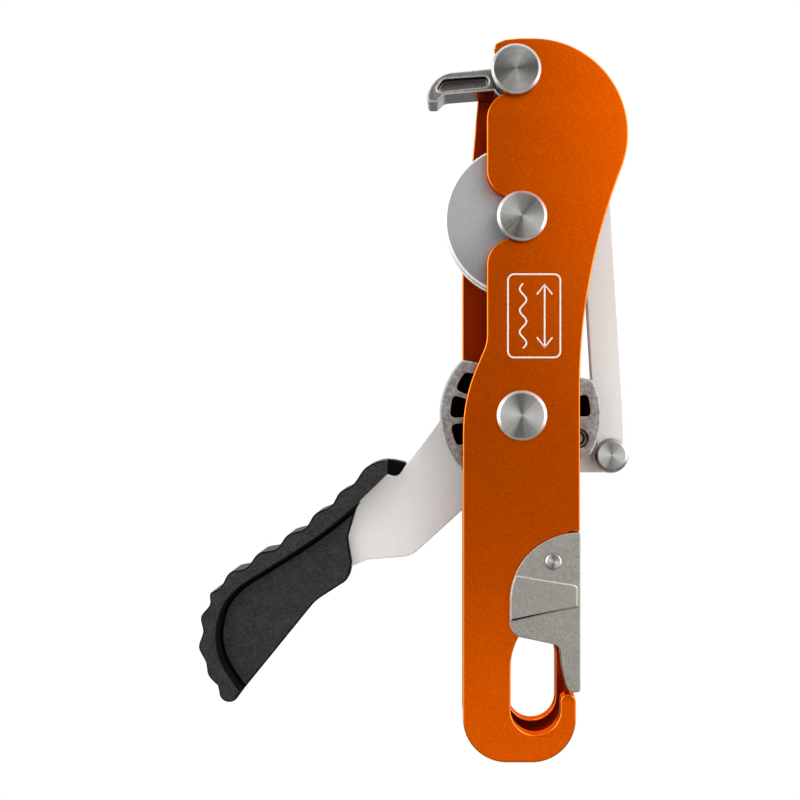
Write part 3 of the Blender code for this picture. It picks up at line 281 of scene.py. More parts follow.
def plate_right_side(lowest):
    head = Vector((AXLE.x + HEAD_OFFSET, BOBBIN.y + HEAD_ABOVE_BOBBIN))
    waist_x = RIGHT_EDGE + WAIST_RADIUS
    reach = HEAD_RADIUS + WAIST_RADIUS
    waist = Vector((waist_x, head.y - sqrt(reach ** 2 - (waist_x - head.x) ** 2)))
    touch = atan2(waist.y - head.y, waist.x - head.x)
    hollow = arc(waist, WAIST_RADIUS, pi + touch, pi, radians(1.0))
    return head, arc(head, HEAD_RADIUS, pi / 2, touch) + hollow[1:] \
        + [Vector((RIGHT_EDGE, lowest))]


def notch(post):
    return cornered(arc(post, NOTCH_RADIUS, -pi / 2, pi / 2))


def front_plate_outline():
    head, right_side = plate_right_side(SHOULDER_HEIGHT)
    lobe = AXLE.x - LOBE_EDGE
    lug_x = GATE_PIN.x + LUG_RADIUS
    lug_z = GATE_PIN.y - LUG_RADIUS * tan(MOUTH_SLANT / 2)
    slot_z = lug_z - (lug_x + EYE_RADIUS) / tan(MOUTH_SLANT)
    tip = TOP_POST.x - HOOK_REACH
    underside = TOP_POST.y + NOTCH_RADIUS + HOOK_RISE
    top = head.y + HEAD_RADIUS
    return rounded([
        *cornered(right_side), (lug_x, SHOULDER_HEIGHT, SHOULDER_FILLET),
        (lug_x, lug_z, LUG_RADIUS), (-EYE_RADIUS, slot_z, MOUTH_FILLET),
        *cornered(arc((0, 0), EYE_RADIUS, -pi, 0)),
        (EYE_RADIUS, NOSE_HEIGHT, NOSE_FILLET), (HOOK_EDGE, NOSE_HEIGHT, NOSE_FILLET),
        (HOOK_EDGE, FOOT, FOOT_CORNER), (LEFT_EDGE, FOOT, FOOT_CORNER),
        (LEFT_EDGE, AXLE.y + WAIST_LOW, WAIST_LOW_FILLET),
        (lobe, AXLE.y + WAIST_HIGH, WAIST_HIGH_FILLET),
        (lobe, BOBBIN.y - NOTCH_RADIUS - 1.0, LOBE_CORNER), *notch(BOBBIN),
        (lobe, BOBBIN.y + NOTCH_RADIUS, LOBE_CORNER),
        (lobe, TOP_POST.y - NOTCH_RADIUS - 0.5, LOBE_CORNER), *notch(TOP_POST),
        (tip, underside, HOOK_LIP), (tip, underside + HOOK_TIP, 1.6 * HOOK_LIP),
        (tip + HOOK_TAPER, top - HOOK_DROP, 4.0), (tip + 2.4 * HOOK_TAPER, top, 6.0)])


def rear_plate_outline():
    head, right_side = plate_right_side(FOOT + FOOT_CORNER)

    def rim(x):
        return head.y + sqrt(HEAD_RADIUS ** 2 - (x - head.x) ** 2)

    def left(z):
        return LEFT_EDGE + (z - REAR_LEAN_START) * tan(REAR_LEAN)

    corner_x = left(head.y + HEAD_RADIUS) + REAR_CORNER
    edge_z = rim(corner_x) - REAR_CORNER
    start = atan2(rim(corner_x + 4.0) - head.y, corner_x + 4.0 - head.x)
    return rounded([
        *cornered(right_side[:-1]), (RIGHT_EDGE, FOOT, FOOT_CORNER),
        (LEFT_EDGE, FOOT, FOOT_CORNER), (LEFT_EDGE, REAR_LEAN_START, WAIST_LOW_FILLET),
        (left(edge_z), edge_z, 6.0), (corner_x, rim(corner_x), 6.0),
        *cornered(arc(head, HEAD_RADIUS, start, pi / 2)[:-1])])


def eye_outline():
    upper = (0, EYE_HEIGHT - EYE_RADIUS)
    return arc((0, 0), EYE_RADIUS, -pi, 0) + arc(upper, EYE_RADIUS, 0, pi)


def lever_outline():
    """Hub, crank to the link on the right, and the arm that runs into the grip."""
    end = LINK_END_RADIUS
    crank = LINK_LOW - AXLE
    right = crank.x + end
    return rounded(moved([
        (-22, 4.5, 12), (0, 20, 20), (18, 4, 14),
        (right, crank.y + end, end), (right, crank.y - end, end),
        (-5, crank.y - end, 10), (-36.3, -47.6, 8), (-51, -48.8, 3),
        (-66, -55, 2.5), (-96, -86, 3), (-99, -80, 3),
        (-76, -48, 4), (-52, -25, 3), (-46, -19.4, 1.5),
        (-41, -21, 2.6), (-37.4, -15.8, 4)], AXLE))


def link_outline():
    turn = atan2(LINK_ACROSS.y, LINK_ACROSS.x)
    flare = radians(38)
    shoulder = LINK_LOW + LINK_LEAN * 2.4 * LINK_END_RADIUS
    half = LINK_ACROSS * LINK_WIDTH / 2
    return [*arc(LINK_TOP, LINK_WIDTH / 2, turn + pi, turn), shoulder + half,
            *arc(LINK_LOW, LINK_END_RADIUS, turn + flare, turn - pi - flare),
            shoulder - half]


def clipped(corners, place, beyond):
    """The part of a convex outline that isn't beyond a line through a place."""
    kept = []
    for i, here in enumerate(corners):
        before = corners[i - 1]
        now, then = ((p - place).dot(beyond) for p in (here, before))
        if (now > 0) != (then > 0):
            kept.append(before + (here - before) * then / (then - now))
        if now <= 0:
            kept.append(here)
    return kept


def cam_window(start, stop):
    """Outline of a window of the cam between two radii, kept clear of the flat top."""
    up = direction(CAM_TOP_SLOPE + pi / 2)
    spokes = [direction(radians(start + (stop - start) * step / 4)) for step in range(5)]
    corners = [AXLE + CAM_POCKET_INNER * spokes[0],
               *(AXLE + (CAM_RADIUS - CAM_RIM) * spoke for spoke in spokes),
               AXLE + CAM_POCKET_INNER * spokes[-1]]
    line = AXLE + CAM_TOP_LEFT - CAM_TOP_WALL * up
    return rounded(cornered(clipped(corners, line, up), 1.5))


def cam_outline():
    """A round disc with its top cut off flat, and a flat under the link's pin."""
    middle = CAM_TOP_SLOPE + pi / 2
    half = acos(CAM_TOP_LEFT.dot(direction(middle)) / CAM_RADIUS)
    first, last = ([AXLE + CAM_RADIUS * direction(middle + side * half)] for side in (1, -1))
    left = arc(AXLE, CAM_RADIUS, middle + half + 0.07, radians(288))
    right = arc(AXLE, CAM_RADIUS, radians(-25.5), middle - half - 0.07)
    foot = moved([(9.9, -24.7, 1.2), (11.0, -13.1, 2.0), (23.15, -13.1, 1.6)], AXLE)
    return rounded(cornered(first, 1.6) + cornered(left) + foot + cornered(right)
                   + cornered(last, 1.6))


def smooth_line(points, steps):
    """A smooth line through points, with so many steps from each to the next."""
    line = []
    for i in range(len(points) - 1):
        p0, p1 = points[max(i - 1, 0)], points[i]
        p2, p3 = points[i + 1], points[min(i + 2, len(points) - 1)]
        for t in [step / steps for step in range(steps)]:
            line.append(0.5 * (2 * p1 + (p2 - p0) * t + (2 * p0 - 5 * p1 + 4 * p2 - p3) * t * t
                               + (3 * p1 - p0 - 3 * p2 + p3) * t ** 3))
    return line + [points[-1]]


def scalloped_side():
    """The grip's outer side, from its end on the lever round its tip."""
    valleys = [AXLE + Vector(valley) for valley in GRIP_VALLEYS]
    points = [AXLE + Vector(p) for p in ((-42, -15.2), (-46.3, -15.2), (-51.3, -17.5))]
    for valley, following, height in zip(valleys, valleys[1:], GRIP_BUMPS):
        run = (following - valley).normalized()
        points += [valley, (valley + following) / 2 + height * Vector((run.y, -run.x))]
    tip = arc(AXLE + Vector((-96.4, -91.8)), 3.3, radians(180), radians(325))
    return smooth_line(points + [valleys[-1]], 10) + tip


GRIP_INNER_SIDE = [(-68.2, -62.3, 14), (-57.3, -55.3, 4.5), (-56, -49.5, 2),
                   (-57.4, -41, 6)]
GRIP_CURL = [(-54.3, -30.6, 5), (-43.8, -21, 2), (-37.6, -21.2, 1.2),
             (-36.4, -18.6, 1), (-38.6, -16, 1.2)]
PANEL_BORDER = cornered(smooth_line([Vector(p) for p in (
    (-92.3, -91.3), (-94.1, -89.2), (-98.9, -81.3), (-100.4, -72.7), (-98.4, -64),
    (-93.4, -57.6), (-84.4, -51.7), (-72.9, -44.5), (-63.5, -37.9), (-54.9, -30.8))], 6))


def grip_outline():
    return rounded(cornered(scalloped_side()) + moved(GRIP_INNER_SIDE + GRIP_CURL, AXLE))


def band_outline():
    """The raised part of the grip: its scalloped side and the end over the lever."""
    return rounded(cornered(scalloped_side()) + moved(PANEL_BORDER + GRIP_CURL[1:], AXLE))


def gate_round(start, stop):
    """Part of the quarter circle at the gate's upper left."""
    centre = Vector((GATE_LEFT_EDGE + GATE_ROUND, SHOULDER_HEIGHT - GAP - GATE_ROUND))
    return cornered(arc(centre, GATE_ROUND, start, stop))


# ---- solids

def new_object(name, data):
    made = bpy.data.objects.new(name, data)
    scene.collection.objects.link(made)
    return made


def drawn(name, points, faces=()):
    """An object made of points in metres and the faces between them."""
    mesh = bpy.data.meshes.new(name)
    mesh.from_pydata(points, [], faces)
    return new_object(name, mesh)


def edge_rows(near, far, radius, steps=4):
    """Rows (inset, depth) of a side with rounded edges, from one face to the other."""
    sense = 1 if far > near else -1
    quarter = [(radius * (1 - sin(i / steps * pi / 2)),
                sense * radius * (1 - cos(i / steps * pi / 2)))
               for i in range(steps + 1)]
    return [(shift, near + depth) for shift, depth in quarter] \
        + [(shift, far - depth) for shift, depth in reversed(quarter)]


def pocket_rows(face, floor, rim, foot=0.0):
    """Rows of a blind pocket: a rounded rim, its wall and a rounded foot."""
    sense = 1 if floor > face else -1
    turns = [pi / 2 * i / 3 for i in range(4)] if foot else [0]
    return edge_rows(face, floor, rim, 3)[:4] + [
        (-foot * (1 - cos(a)), floor - sense * foot * (1 - sin(a))) for a in turns]


def mirrored(rows, front, back):
    """Rows of (radius or inset, depth) in the opposite order, as seen from the back."""
    return [(reach, front + back - depth) for reach, depth in reversed(rows)]


class Solid:
    """A closed solid made of rows that follow an outline, with holes and pockets."""

    def __init__(self, outline, rows, holes=(), pockets=()):
        self.work = bmesh.new()
        self.first, self.last = [], []
        self.side(outline, rows, 1)
        for opening, levels in holes:
            self.side(opening, levels, -1)
        for pocket, levels in pockets:
            rings = self.rings(pocket, levels, -1)
            self.first.append(rings[0])
            self.cap([rings[-1]])
        self.cap(self.first)
        self.cap(self.last)

    def rings(self, outline, rows, sense):
        outline = tidy(outline)
        rings = []
        for shift, depth in rows:
            line = inset(outline, sense * shift) if shift else outline
            rings.append([self.work.verts.new((p.x, depth - MIDDLE_DEPTH, p.y)) for p in line])
        for near, far in zip(rings, rings[1:]):
            for i in range(len(near)):
                self.work.faces.new((near[i - 1], near[i], far[i], far[i - 1]))
        return rings

    def side(self, outline, rows, sense):
        rings = self.rings(outline, rows, sense)
        self.first.append(rings[0])
        self.last.append(rings[-1])

    def cap(self, rings):
        corners = [corner for ring in rings for corner in ring]
        flat = [[Vector((v.co.x, v.co.z, 0)) for v in ring] for ring in rings]
        for triangle in tessellate_polygon(flat):
            self.work.faces.new([corners[i] for i in triangle])

    def piece(self, name):
        bmesh.ops.recalc_face_normals(self.work, faces=self.work.faces)
        bmesh.ops.scale(self.work, vec=(MM, MM, MM), verts=self.work.verts)
        mesh = bpy.data.meshes.new(name)
        self.work.to_mesh(mesh)
        self.work.free()
        return new_object(name, mesh)


def slab(outline, near, far, edge, holes=(), pockets=()):
    """A plate with rounded edges; holes are (outline, edge radius), pockets have rows."""
    through = [(opening, edge_rows(near, far, radius)) for opening, radius in holes]
    return Solid(outline, edge_rows(near, far, edge), through, pockets)


def settled(piece):
    """Turns the piece's live modifiers into a plain mesh."""
    graph = bpy.context.evaluated_depsgraph_get()
    mesh = bpy.data.meshes.new_from_object(piece.evaluated_get(graph))
    old = piece.data
    if piece.type == "MESH":
        piece.modifiers.clear()
        piece.data = mesh
        bpy.data.meshes.remove(old)
        return piece
    name = piece.name
    bpy.data.objects.remove(piece, do_unlink=True)
    return new_object(name, mesh)


def combined(piece, solid, operation="DIFFERENCE"):
    """Cuts a solid out of the piece, or with UNION joins it to the piece."""
    tool = solid.piece("tool")
    step = piece.modifiers.new(operation.lower(), "BOOLEAN")
    step.operation = operation
    step.solver = "EXACT"
    step.object = tool
    settled(piece)
    bpy.data.objects.remove(tool, do_unlink=True)


def shaded(piece):
    """Smooth shading that keeps flat faces flat."""
    piece.data.shade_smooth()
    piece.data.set_sharp_from_angle(angle=radians(35))
    weigh = piece.modifiers.new("flat faces", "WEIGHTED_NORMAL")
    weigh.keep_sharp = True
    return settled(piece)


# ---- nodes

def operator(operation):
    """A method that takes the socket and a value or another socket through a Math node."""
    return lambda socket, other: socket.math(operation, other)


class Socket:
    """An output of a node; sums on it add Math nodes."""

    def __init__(self, nodes, output):
        self.nodes, self.output = nodes, output

    def also(self, name):
        return Socket(self.nodes, self.output.node.outputs[name])

    def math(self, operation, *values):
        return self.nodes.add("Math", dict(enumerate((self, *values))), {"operation": operation})

    def __rsub__(self, other):
        return self.nodes.add("Math", {0: other, 1: self}, {"operation": "SUBTRACT"})

    __add__, __sub__ = operator("ADD"), operator("SUBTRACT")
    __mul__, __truediv__, __pow__ = operator("MULTIPLY"), operator("DIVIDE"), operator("POWER")
    __radd__, __rmul__ = __add__, __mul__


class Nodes:
    """Adds nodes to a tree, each with its settings and the values or links of its sockets."""

    def __init__(self, tree):
        self.tree = tree

    def add(self, kind, values=None, settings=None, output=0, family="ShaderNode"):
        node = self.tree.nodes.new(family + kind)
        for key, value in (settings or {}).items():
            setattr(node, key, value)
        for key, value in (values or {}).items():
            self.feed(node.inputs[key], value)
        return Socket(self, node.outputs[output]) if len(node.outputs) else node

    def feed(self, target, value):
        if isinstance(value, Socket):
            self.tree.links.new(value.output, target)
        else:
            target.default_value = (*value, 1) if target.type == "RGBA" else value


# ---- geometry nodes

class GeometryTree(Nodes):
    """A Geometry Nodes tree with named inputs that ends in one mesh."""

    def __init__(self, name, inputs):
        super().__init__(bpy.data.node_groups.new(name, "GeometryNodeTree"))
        for label, kind in {"Geometry": "Geometry", **inputs}.items():
            self.tree.interface.new_socket(label, in_out="INPUT", socket_type="NodeSocket" + kind)
        self.tree.interface.new_socket("Geometry", in_out="OUTPUT",
                                       socket_type="NodeSocketGeometry")
        self.given = self.add("GroupInput", family="Node")

    def input(self, name):
        return self.given.also(name)

    def shape(self, kind, values=None, settings=None, output=0):
        return self.add(kind, values, settings, output, "GeometryNode")

    def end(self, geometry):
        real = self.shape("RealizeInstances", {"Geometry": geometry})
        self.add("GroupOutput", {"Geometry": real}, family="Node")
        return self

    def apply(self, piece, values):
        step = piece.modifiers.new(self.tree.name, "NODES")
        step.node_group = self.tree
        for item in self.tree.interface.items_tree:
            if item.in_out == "INPUT" and item.name in values:
                step[item.identifier] = values[item.name]
        return settled(piece)


def turned_tree():
    """Turns a profile (x is the radius, y the depth) round an axis along the depth."""
    tree = GeometryTree("turned part", {"Facets": "Int", "Rounding": "Float", "Axis": "Vector"})
    profile = tree.shape("FilletCurve", {
        "Curve": tree.input("Geometry"), "Count": 4, "Radius": tree.input("Rounding"),
        "Limit Radius": True}, {"mode": "POLY"})
    count = tree.shape("AttributeDomainSize", {"Geometry": profile}, {"component": "CURVE"},
                       "Point Count")
    grid = tree.shape("MeshGrid", {"Size X": 1.0, "Size Y": 1.0, "Vertices Y": count,
                                   "Vertices X": tree.input("Facets") + 1})
    mapped = tree.shape("StoreNamedAttribute", {
        "Geometry": grid, "Name": "UVMap", "Value": grid.also("UV Map")},
        {"data_type": "FLOAT2", "domain": "CORNER"})
    place = tree.shape("InputPosition")
    across = tree.add("SeparateXYZ", {0: place})
    row = ((across.also("Y") + 0.5) * (count - 1)).math("ROUND")
    on_profile = tree.shape("SampleIndex", {"Geometry": profile, "Value": place, "Index": row},
                            {"data_type": "FLOAT_VECTOR", "domain": "POINT"})
    section = tree.add("SeparateXYZ", {0: on_profile})
    angle = (across + 0.5) * (2 * pi)
    around = tree.add("CombineXYZ", {"X": section * angle.math("COSINE"), "Y": section.also("Y"),
                                     "Z": section * angle.math("SINE")})
    centred = tree.add("VectorMath", {0: around, 1: tree.input("Axis")}, {"operation": "ADD"})
    shaped = tree.shape("SetPosition", {"Geometry": mapped, "Position": centred})
    return tree.end(tree.shape("MergeByDistance", {"Geometry": shaped, "Distance": 1e-6}))


def repeat_tree():
    """Sets a copy of one piece at every point."""
    tree = GeometryTree("repeated piece", {"Piece": "Object"})
    source = tree.shape("ObjectInfo", {"Object": tree.input("Piece")},
                        {"transform_space": "ORIGINAL"}, "Geometry")
    return tree.end(tree.shape("InstanceOnPoints", {
        "Points": tree.input("Geometry"), "Instance": source}))


def print_tree():
    """Sweeps a thin flat stroke along drawn lines."""
    tree = GeometryTree("printed lines", {"Stroke": "Float", "Film": "Float"})
    stroke = tree.shape("CurvePrimitiveQuadrilateral", {
        "Width": tree.input("Film"), "Height": tree.input("Stroke")})
    level = tree.shape("SetCurveNormal", {"Curve": tree.input("Geometry"),
                                          "Normal": (0.0, 1.0, 0.0)}, {"mode": "FREE"})
    return tree.end(tree.shape("CurveToMesh", {
        "Curve": level, "Profile Curve": stroke, "Fill Caps": True}))


TURNED = turned_tree()
REPEATED = repeat_tree()
PRINTED = print_tree()


def poly_curve(name, lines, cyclic=False):
    """A curve object through points (x, y, z) in metres, one spline for each line."""
    curve = bpy.data.curves.new(name, "CURVE")
    curve.dimensions = "3D"
    for line in lines:
        spline = curve.splines.new("POLY")
        spline.points.add(len(line) - 1)
        for point, corner in zip(spline.points, line):
            point.co = (*corner, 1)
        spline.use_cyclic_u = cyclic
    return new_object(name, curve)


def turned(name, profile, centre, rounding=0.15, facets=96):
    """A turned part from its profile of (radius, depth)."""
    line = [(radius * MM, (depth - MIDDLE_DEPTH) * MM, 0) for radius, depth in profile]
    piece = TURNED.apply(poly_curve(name, [line]), {
        "Facets": facets, "Rounding": rounding * MM, "Axis": (centre.x * MM, 0.0, centre.y * MM)})
    work = bmesh.new()
    work.from_mesh(piece.data)
    bmesh.ops.dissolve_degenerate(work, dist=1e-7, edges=work.edges)
    bmesh.ops.recalc_face_normals(work, faces=work.faces)
    work.to_mesh(piece.data)
    work.free()
    return piece


# ---- finishes

class Finish(Nodes):
    """A procedural material; patterns read the piece's own coordinates in millimetres."""

    def __init__(self, name, metallic=1.0, specular=0.5):
        self.material = bpy.data.materials.new(name)
        self.material.use_nodes = True
        super().__init__(self.material.node_tree)
        self.shader = self.tree.nodes["Principled BSDF"]
        self.put("Metallic", metallic)
        self.put("Specular IOR Level", specular)
        self.spot = self.add("TexCoord", output="Object")
        self.place = self.add("VectorMath", {0: self.spot, "Scale": 1 / MM},
                              {"operation": "SCALE"})

    def put(self, name, value):
        self.feed(self.shader.inputs[name], value)

    def noise(self, size, detail=2.0, place=None):
        return self.add("TexNoise", {"Vector": place or self.place, "Scale": 1 / size,
                                     "Detail": detail})

    def speckle(self, size, detail=2.0):
        """Fine grain from 0 to 1, mostly between 0.2 and 0.8."""
        return self.steps(self.noise(size, detail), 0.32, 0.68)

    def clouds(self, size, detail, fleck, share=0.4, fine=2.0):
        """Soft clouds with speckle in them."""
        return self.noise(size, detail) * share + self.speckle(fleck, fine) * (1 - share)

    def steps(self, value, low, high, kind="LINEAR"):
        """0 below low, 1 above high."""
        return self.add("MapRange", {"Value": value, "From Min": low, "From Max": high},
                        {"interpolation_type": kind})

    def swell(self, value, low, high):
        return self.steps(value, low, high, "SMOOTHSTEP")

    def between(self, value, start, full, fade, stop):
        """1 from full to fade, 0 before start and after stop."""
        return self.steps(value, start, full) * self.steps(value, stop, fade)

    def from_axis(self, axis=AXLE):
        """Sockets for x, depth and z from an axis, in millimetres."""
        parts = self.add("SeparateXYZ", {0: self.place})
        return parts - axis.x, parts.also("Y") + MIDDLE_DEPTH, parts.also("Z") - axis.y

    def mix(self, share, first, second):
        return self.add("Mix", {"Factor": share, 6: first, 7: second}, {"data_type": "RGBA"}, 2)

    def relief(self, height, depth):
        """Bump of a height from 0 to 1 that stands for a depth in millimetres."""
        return self.add("Bump", {"Height": height, "Distance": depth * MM, "Strength": 1.0})

    def done(self, colour, roughness, normal=None):
        self.put("Base Color", colour)
        self.put("Roughness", roughness)
        if normal:
            self.put("Normal", normal)
        return self.material

    def glow(self, strength):
        return self.add("Emission", {"Color": (1, 1, 1), "Strength": strength})

    def surface(self, shader):
        self.feed(self.tree.nodes["Material Output"].inputs["Surface"], shader)
        return self.material


def anodised_orange():
    finish = Finish("orange_anodised")
    grain = finish.noise(0.26, 1.0)
    colour = finish.mix(finish.clouds(9.0, 3.0, 0.55), (0.68, 0.084, 0.0), (0.92, 0.130, 0.0))
    colour = finish.mix(finish.steps(grain, 0.66, 0.80) * 0.35, colour, (1.0, 0.34, 0.04))
    depth = finish.from_axis()[1]
    # Painted shade: the faces between the two plates are mixed towards a dark red
    inner = finish.between(depth, PLATE_THICKNESS - 0.5, PLATE_THICKNESS - 0.1,
                           REAR_FACE + 0.05, REAR_FACE + 0.15)
    colour = finish.mix(inner, colour, (0.40, 0.030, 0.0))
    # Painted highlight: a pale orange line on the rounded front rims of both plates
    rims = sum(finish.between(depth, face + 0.02, face + 0.12, face + PLATE_EDGE / 2,
                              face + PLATE_EDGE) for face in (0.0, REAR_FACE))
    colour = finish.mix(rims * 0.55, colour, (1.0, 0.40, 0.06))
    finish.put("Specular Tint", (1.0, 0.40, 0.08))
    return finish.done(colour, 0.20 + grain * 0.10, finish.relief(grain, 0.006))


def turned_steel(name, dark, light):
    """Lathe-turned faces: rings along the profile and painted highlight sectors round the axis."""
    finish = Finish(name)
    parts = finish.add("SeparateXYZ", {0: finish.add("TexCoord", output="UV")})
    angle = parts * (2 * pi)
    on_circle = finish.add("CombineXYZ", {"X": angle.math("COSINE"), "Y": angle.math("SINE")})
    _, depth, up = finish.from_axis()
    rise = up / (TOP_POST.y - AXLE.y)
    # Painted highlight: broad light and dark sectors, turned further on higher heads, and noise
    # sectors as a painted sheen
    painted_sheen = (angle * 2 + rise * rise * pi).math("COSINE")
    painted_sheen_fans = finish.noise(0.9, 3.0, on_circle)
    hairs = finish.noise(0.06, 2.0, on_circle)
    rings = finish.noise(0.006, 2.0, finish.add("CombineXYZ", {"X": parts.also("Y")}))
    # The tone is the painted sheen, with fine brushing marks from the hairs
    tone = finish.steps(painted_sheen * 0.17 + painted_sheen_fans * 0.45 + hairs * 0.22, 0.12, 0.56)
    # Painted shade: the same steel is mixed darker on the higher heads and lighter on the lower
    # ones
    low, high = (finish.mix(tone, *(tuple(channel * share for channel in grey)
                                    for grey, share in zip((dark, light), shares)))
                 for shares in ((1.7, 1.4), (1.0, 0.72)))
    colour = finish.mix(finish.steps(rise, 0.0, 1.0), low, high)
    # Painted highlight: a pale, less metallic ring on each head's chamfer
    chamfer = finish.between(depth + (POST_HEAD_HEIGHT + GAP), 0.04, 0.12,
                             POST_HEAD_CHAMFER - 0.05, POST_HEAD_CHAMFER + 0.05)
    colour = finish.mix(chamfer * 0.45, colour, (0.84, 0.83, 0.80))
    finish.put("Metallic", 1 - chamfer * 0.2)
    return finish.done(colour, 0.24 + rings * 0.16, finish.relief(rings, 0.01))


def satin_aluminium():
    finish = Finish("satin_aluminium")
    grain = finish.noise(0.18, 2.0)
    x, _, z = finish.from_axis(BOBBIN)
    colour = finish.mix(finish.clouds(14.0, 2.0, 0.5), (0.42, 0.42, 0.43), (0.55, 0.55, 0.56))
    # Painted shade: mixed darker towards the bottom, below the bobbin's middle
    colour = finish.mix(finish.steps(z, -4.0, -22.0) * 0.8, colour, (0.24, 0.24, 0.245))
    # Painted highlight: a pale, less metallic line round the bobbin's rim
    rim = finish.between((x * x + z * z) ** 0.5, BOBBIN_RADIUS - 0.7, BOBBIN_RADIUS - 0.4,
                         BOBBIN_RADIUS + 0.3, BOBBIN_RADIUS + 0.6)
    colour = finish.mix(rim, colour, (0.80, 0.80, 0.79))
    finish.put("Metallic", 1 - rim * 0.8)
    return finish.done(colour, 0.36 + grain * 0.12, finish.relief(grain, 0.004))


def cast_steel(name, dark, light, inside, roughness=0.36, metallic=1.0, pitting=0.05):
    """Mottled cast; painted highlight on its front edges, painted black shade in its hollows."""
    finish = Finish(name)
    pits = finish.noise(0.5, 1.0)
    tone = finish.steps(finish.noise(1.6, 4.0) * 0.6 + pits * 0.4, 0.34, 0.62)
    # Painted highlight: pale, hardly metallic rims just behind the front face
    edge = finish.between(finish.from_axis()[1], INNER_FRONT + 0.03, INNER_FRONT + 0.12,
                          INNER_FRONT + 0.4, INNER_FRONT + 0.7)
    # Painted shade: near black, fully metallic, where the mask is 1
    shade = inside(finish)
    colour = finish.mix(edge * 0.6, finish.mix(tone, dark, light), (0.46, 0.445, 0.42))
    colour = finish.mix(shade, colour, (0.004, 0.004, 0.004))
    finish.put("Metallic", (edge * (0.1 - metallic) + metallic) * (1 - shade) + shade)
    return finish.done(colour, roughness + pits * 0.2, finish.relief(pits, pitting))


def cam_window_shade(finish):
    """1 on the inner faces of the cam's windows, which are painted black as shade."""
    x, depth, z = finish.from_axis()
    deep = finish.steps(depth, INNER_FRONT + 0.2, INNER_FRONT + 0.4)
    inner = finish.steps((x * x + z * z) ** 0.5, CAM_RADIUS - 2.6, CAM_RADIUS - 3.0)
    x, _, z = finish.from_axis(DRIVE_PIN)
    from_seat = ((x * x + z * z) ** 0.5 - 2.55).math("ABSOLUTE")
    return deep * inner * finish.steps(from_seat, 0.25, 0.4)


def arm_pocket_shade(finish):
    """Towards 1 on the floor of the brake arm's pocket, where shade is painted."""
    x, depth, z = finish.from_axis(TOP_POST)
    deep = finish.steps(depth, INNER_FRONT + 0.7, INNER_FRONT + ARM_POCKET_DEPTH - 0.3)
    level = finish.between(z, -6.2, -6.0, 0.8, 1.0)
    right_of_end = finish.steps((x + 27.4) * 4.9 - (z + 5.8) * 3.8, -3.0, -2.0)
    # The painted shade deepens towards the pocket's upper wall
    upper = finish.steps(z - x * 0.12 + 0.4, -1.6, 1.2)
    return deep * level * right_of_end * finish.steps(x, -8.0, -8.3) * (upper * 0.5 + 0.35)


def grained(name, grain, dark, light, roughness, depth, clouds=None, metallic=1.0, specular=0.5):
    """A plain finish; grain is (size, detail) and roughness (least, how much more)."""
    finish = Finish(name, metallic, specular)
    grain = finish.noise(*grain)
    colour = finish.mix(finish.clouds(*clouds) if clouds else grain, dark, light)
    return finish.done(colour, roughness[0] + grain * roughness[1], finish.relief(grain, depth))


def moulded_rubber():
    finish = Finish("charcoal_rubber", 0.0, 0.25)
    cells = finish.add("TexVoronoi", {"Vector": finish.place, "Scale": 1 / 0.55},
                       {"feature": "SMOOTH_F1"})
    grain = finish.noise(0.35, 3.0)
    dust = finish.steps(finish.noise(4.0, 4.0), 0.45, 0.75)
    colour = finish.mix(dust * 0.3 + finish.speckle(0.6) * 0.7, (0.006, 0.006, 0.0063),
                        (0.031, 0.0305, 0.031))
    leather = cells * 0.6 + grain * 0.6
    return finish.done(colour, 0.60 + grain * 0.16, finish.relief(leather, 0.16))


def white_print():
    finish = Finish("white_print", 0.0, 0.3)
    wear = finish.steps(finish.noise(0.5, 4.0), 0.30, 0.42)
    return finish.done(finish.mix(wear, (0.50, 0.40, 0.33), (0.66, 0.645, 0.62)), 0.6 + wear * 0.1)


ORANGE = anodised_orange()
STEEL = turned_steel("turned_steel", (0.10, 0.098, 0.092), (0.62, 0.61, 0.585))
SATIN = satin_aluminium()
PIN_STEEL = turned_steel("pin_steel", (0.16, 0.154, 0.142), (0.62, 0.605, 0.575))
CAM_CAST = cast_steel("cam_cast_steel", (0.14, 0.133, 0.125), (0.38, 0.365, 0.35),
                      cam_window_shade, metallic=0.75)
ARM_CAST = cast_steel("arm_cast_steel", (0.30, 0.29, 0.27), (0.42, 0.405, 0.38),
                      arm_pocket_shade, 0.16, pitting=0.004)
# The link bar's copy of the blasted steel is 8% darker, as painted shade
BLASTED, SHADED_LINK_STEEL = (
    grained(name, (0.25, 2.0), (0.68 * share, 0.66 * share, 0.63 * share),
            (0.78 * share, 0.77 * share, 0.74 * share), (0.46, 0.16), 0.012, (6.0, 3.0, 0.5), 0.55)
    for name, share in (("blasted_steel", 1.0), ("link_steel", 0.92)))
GATE_GREY = grained("gate_steel", (0.3, 3.0), (0.27, 0.253, 0.23), (0.48, 0.456, 0.415),
                    (0.36, 0.16), 0.012, (5.0, 3.0, 0.5, 0.35, 3.0), 0.9)
RUBBER = moulded_rubber()
# Painted shade: near-black rubber on the grip's rims and ditch, where no light gets
SHADE_RUBBER = grained("black_rubber", (0.35, 3.0), (0.0022, 0.002, 0.002),
                       (0.0048, 0.0046, 0.0046), (0.78, 0.14), 0.02, None, 0.0, 0.06)
BRONZE = grained("bush_bronze", (0.4, 3.0), (0.42, 0.25, 0.10), (0.60, 0.40, 0.18),
                 (0.34, 0.2), 0.01)
SPRING_WIRE = grained("spring_steel", (0.5, 2.0), (0.20, 0.20, 0.21), (0.34, 0.34, 0.35),
                      (0.3, 0.15), 0.006)
PRINT = white_print()


# ---- pieces

def coat(piece, finish):
    piece.data.materials.clear()
    piece.data.materials.append(finish)


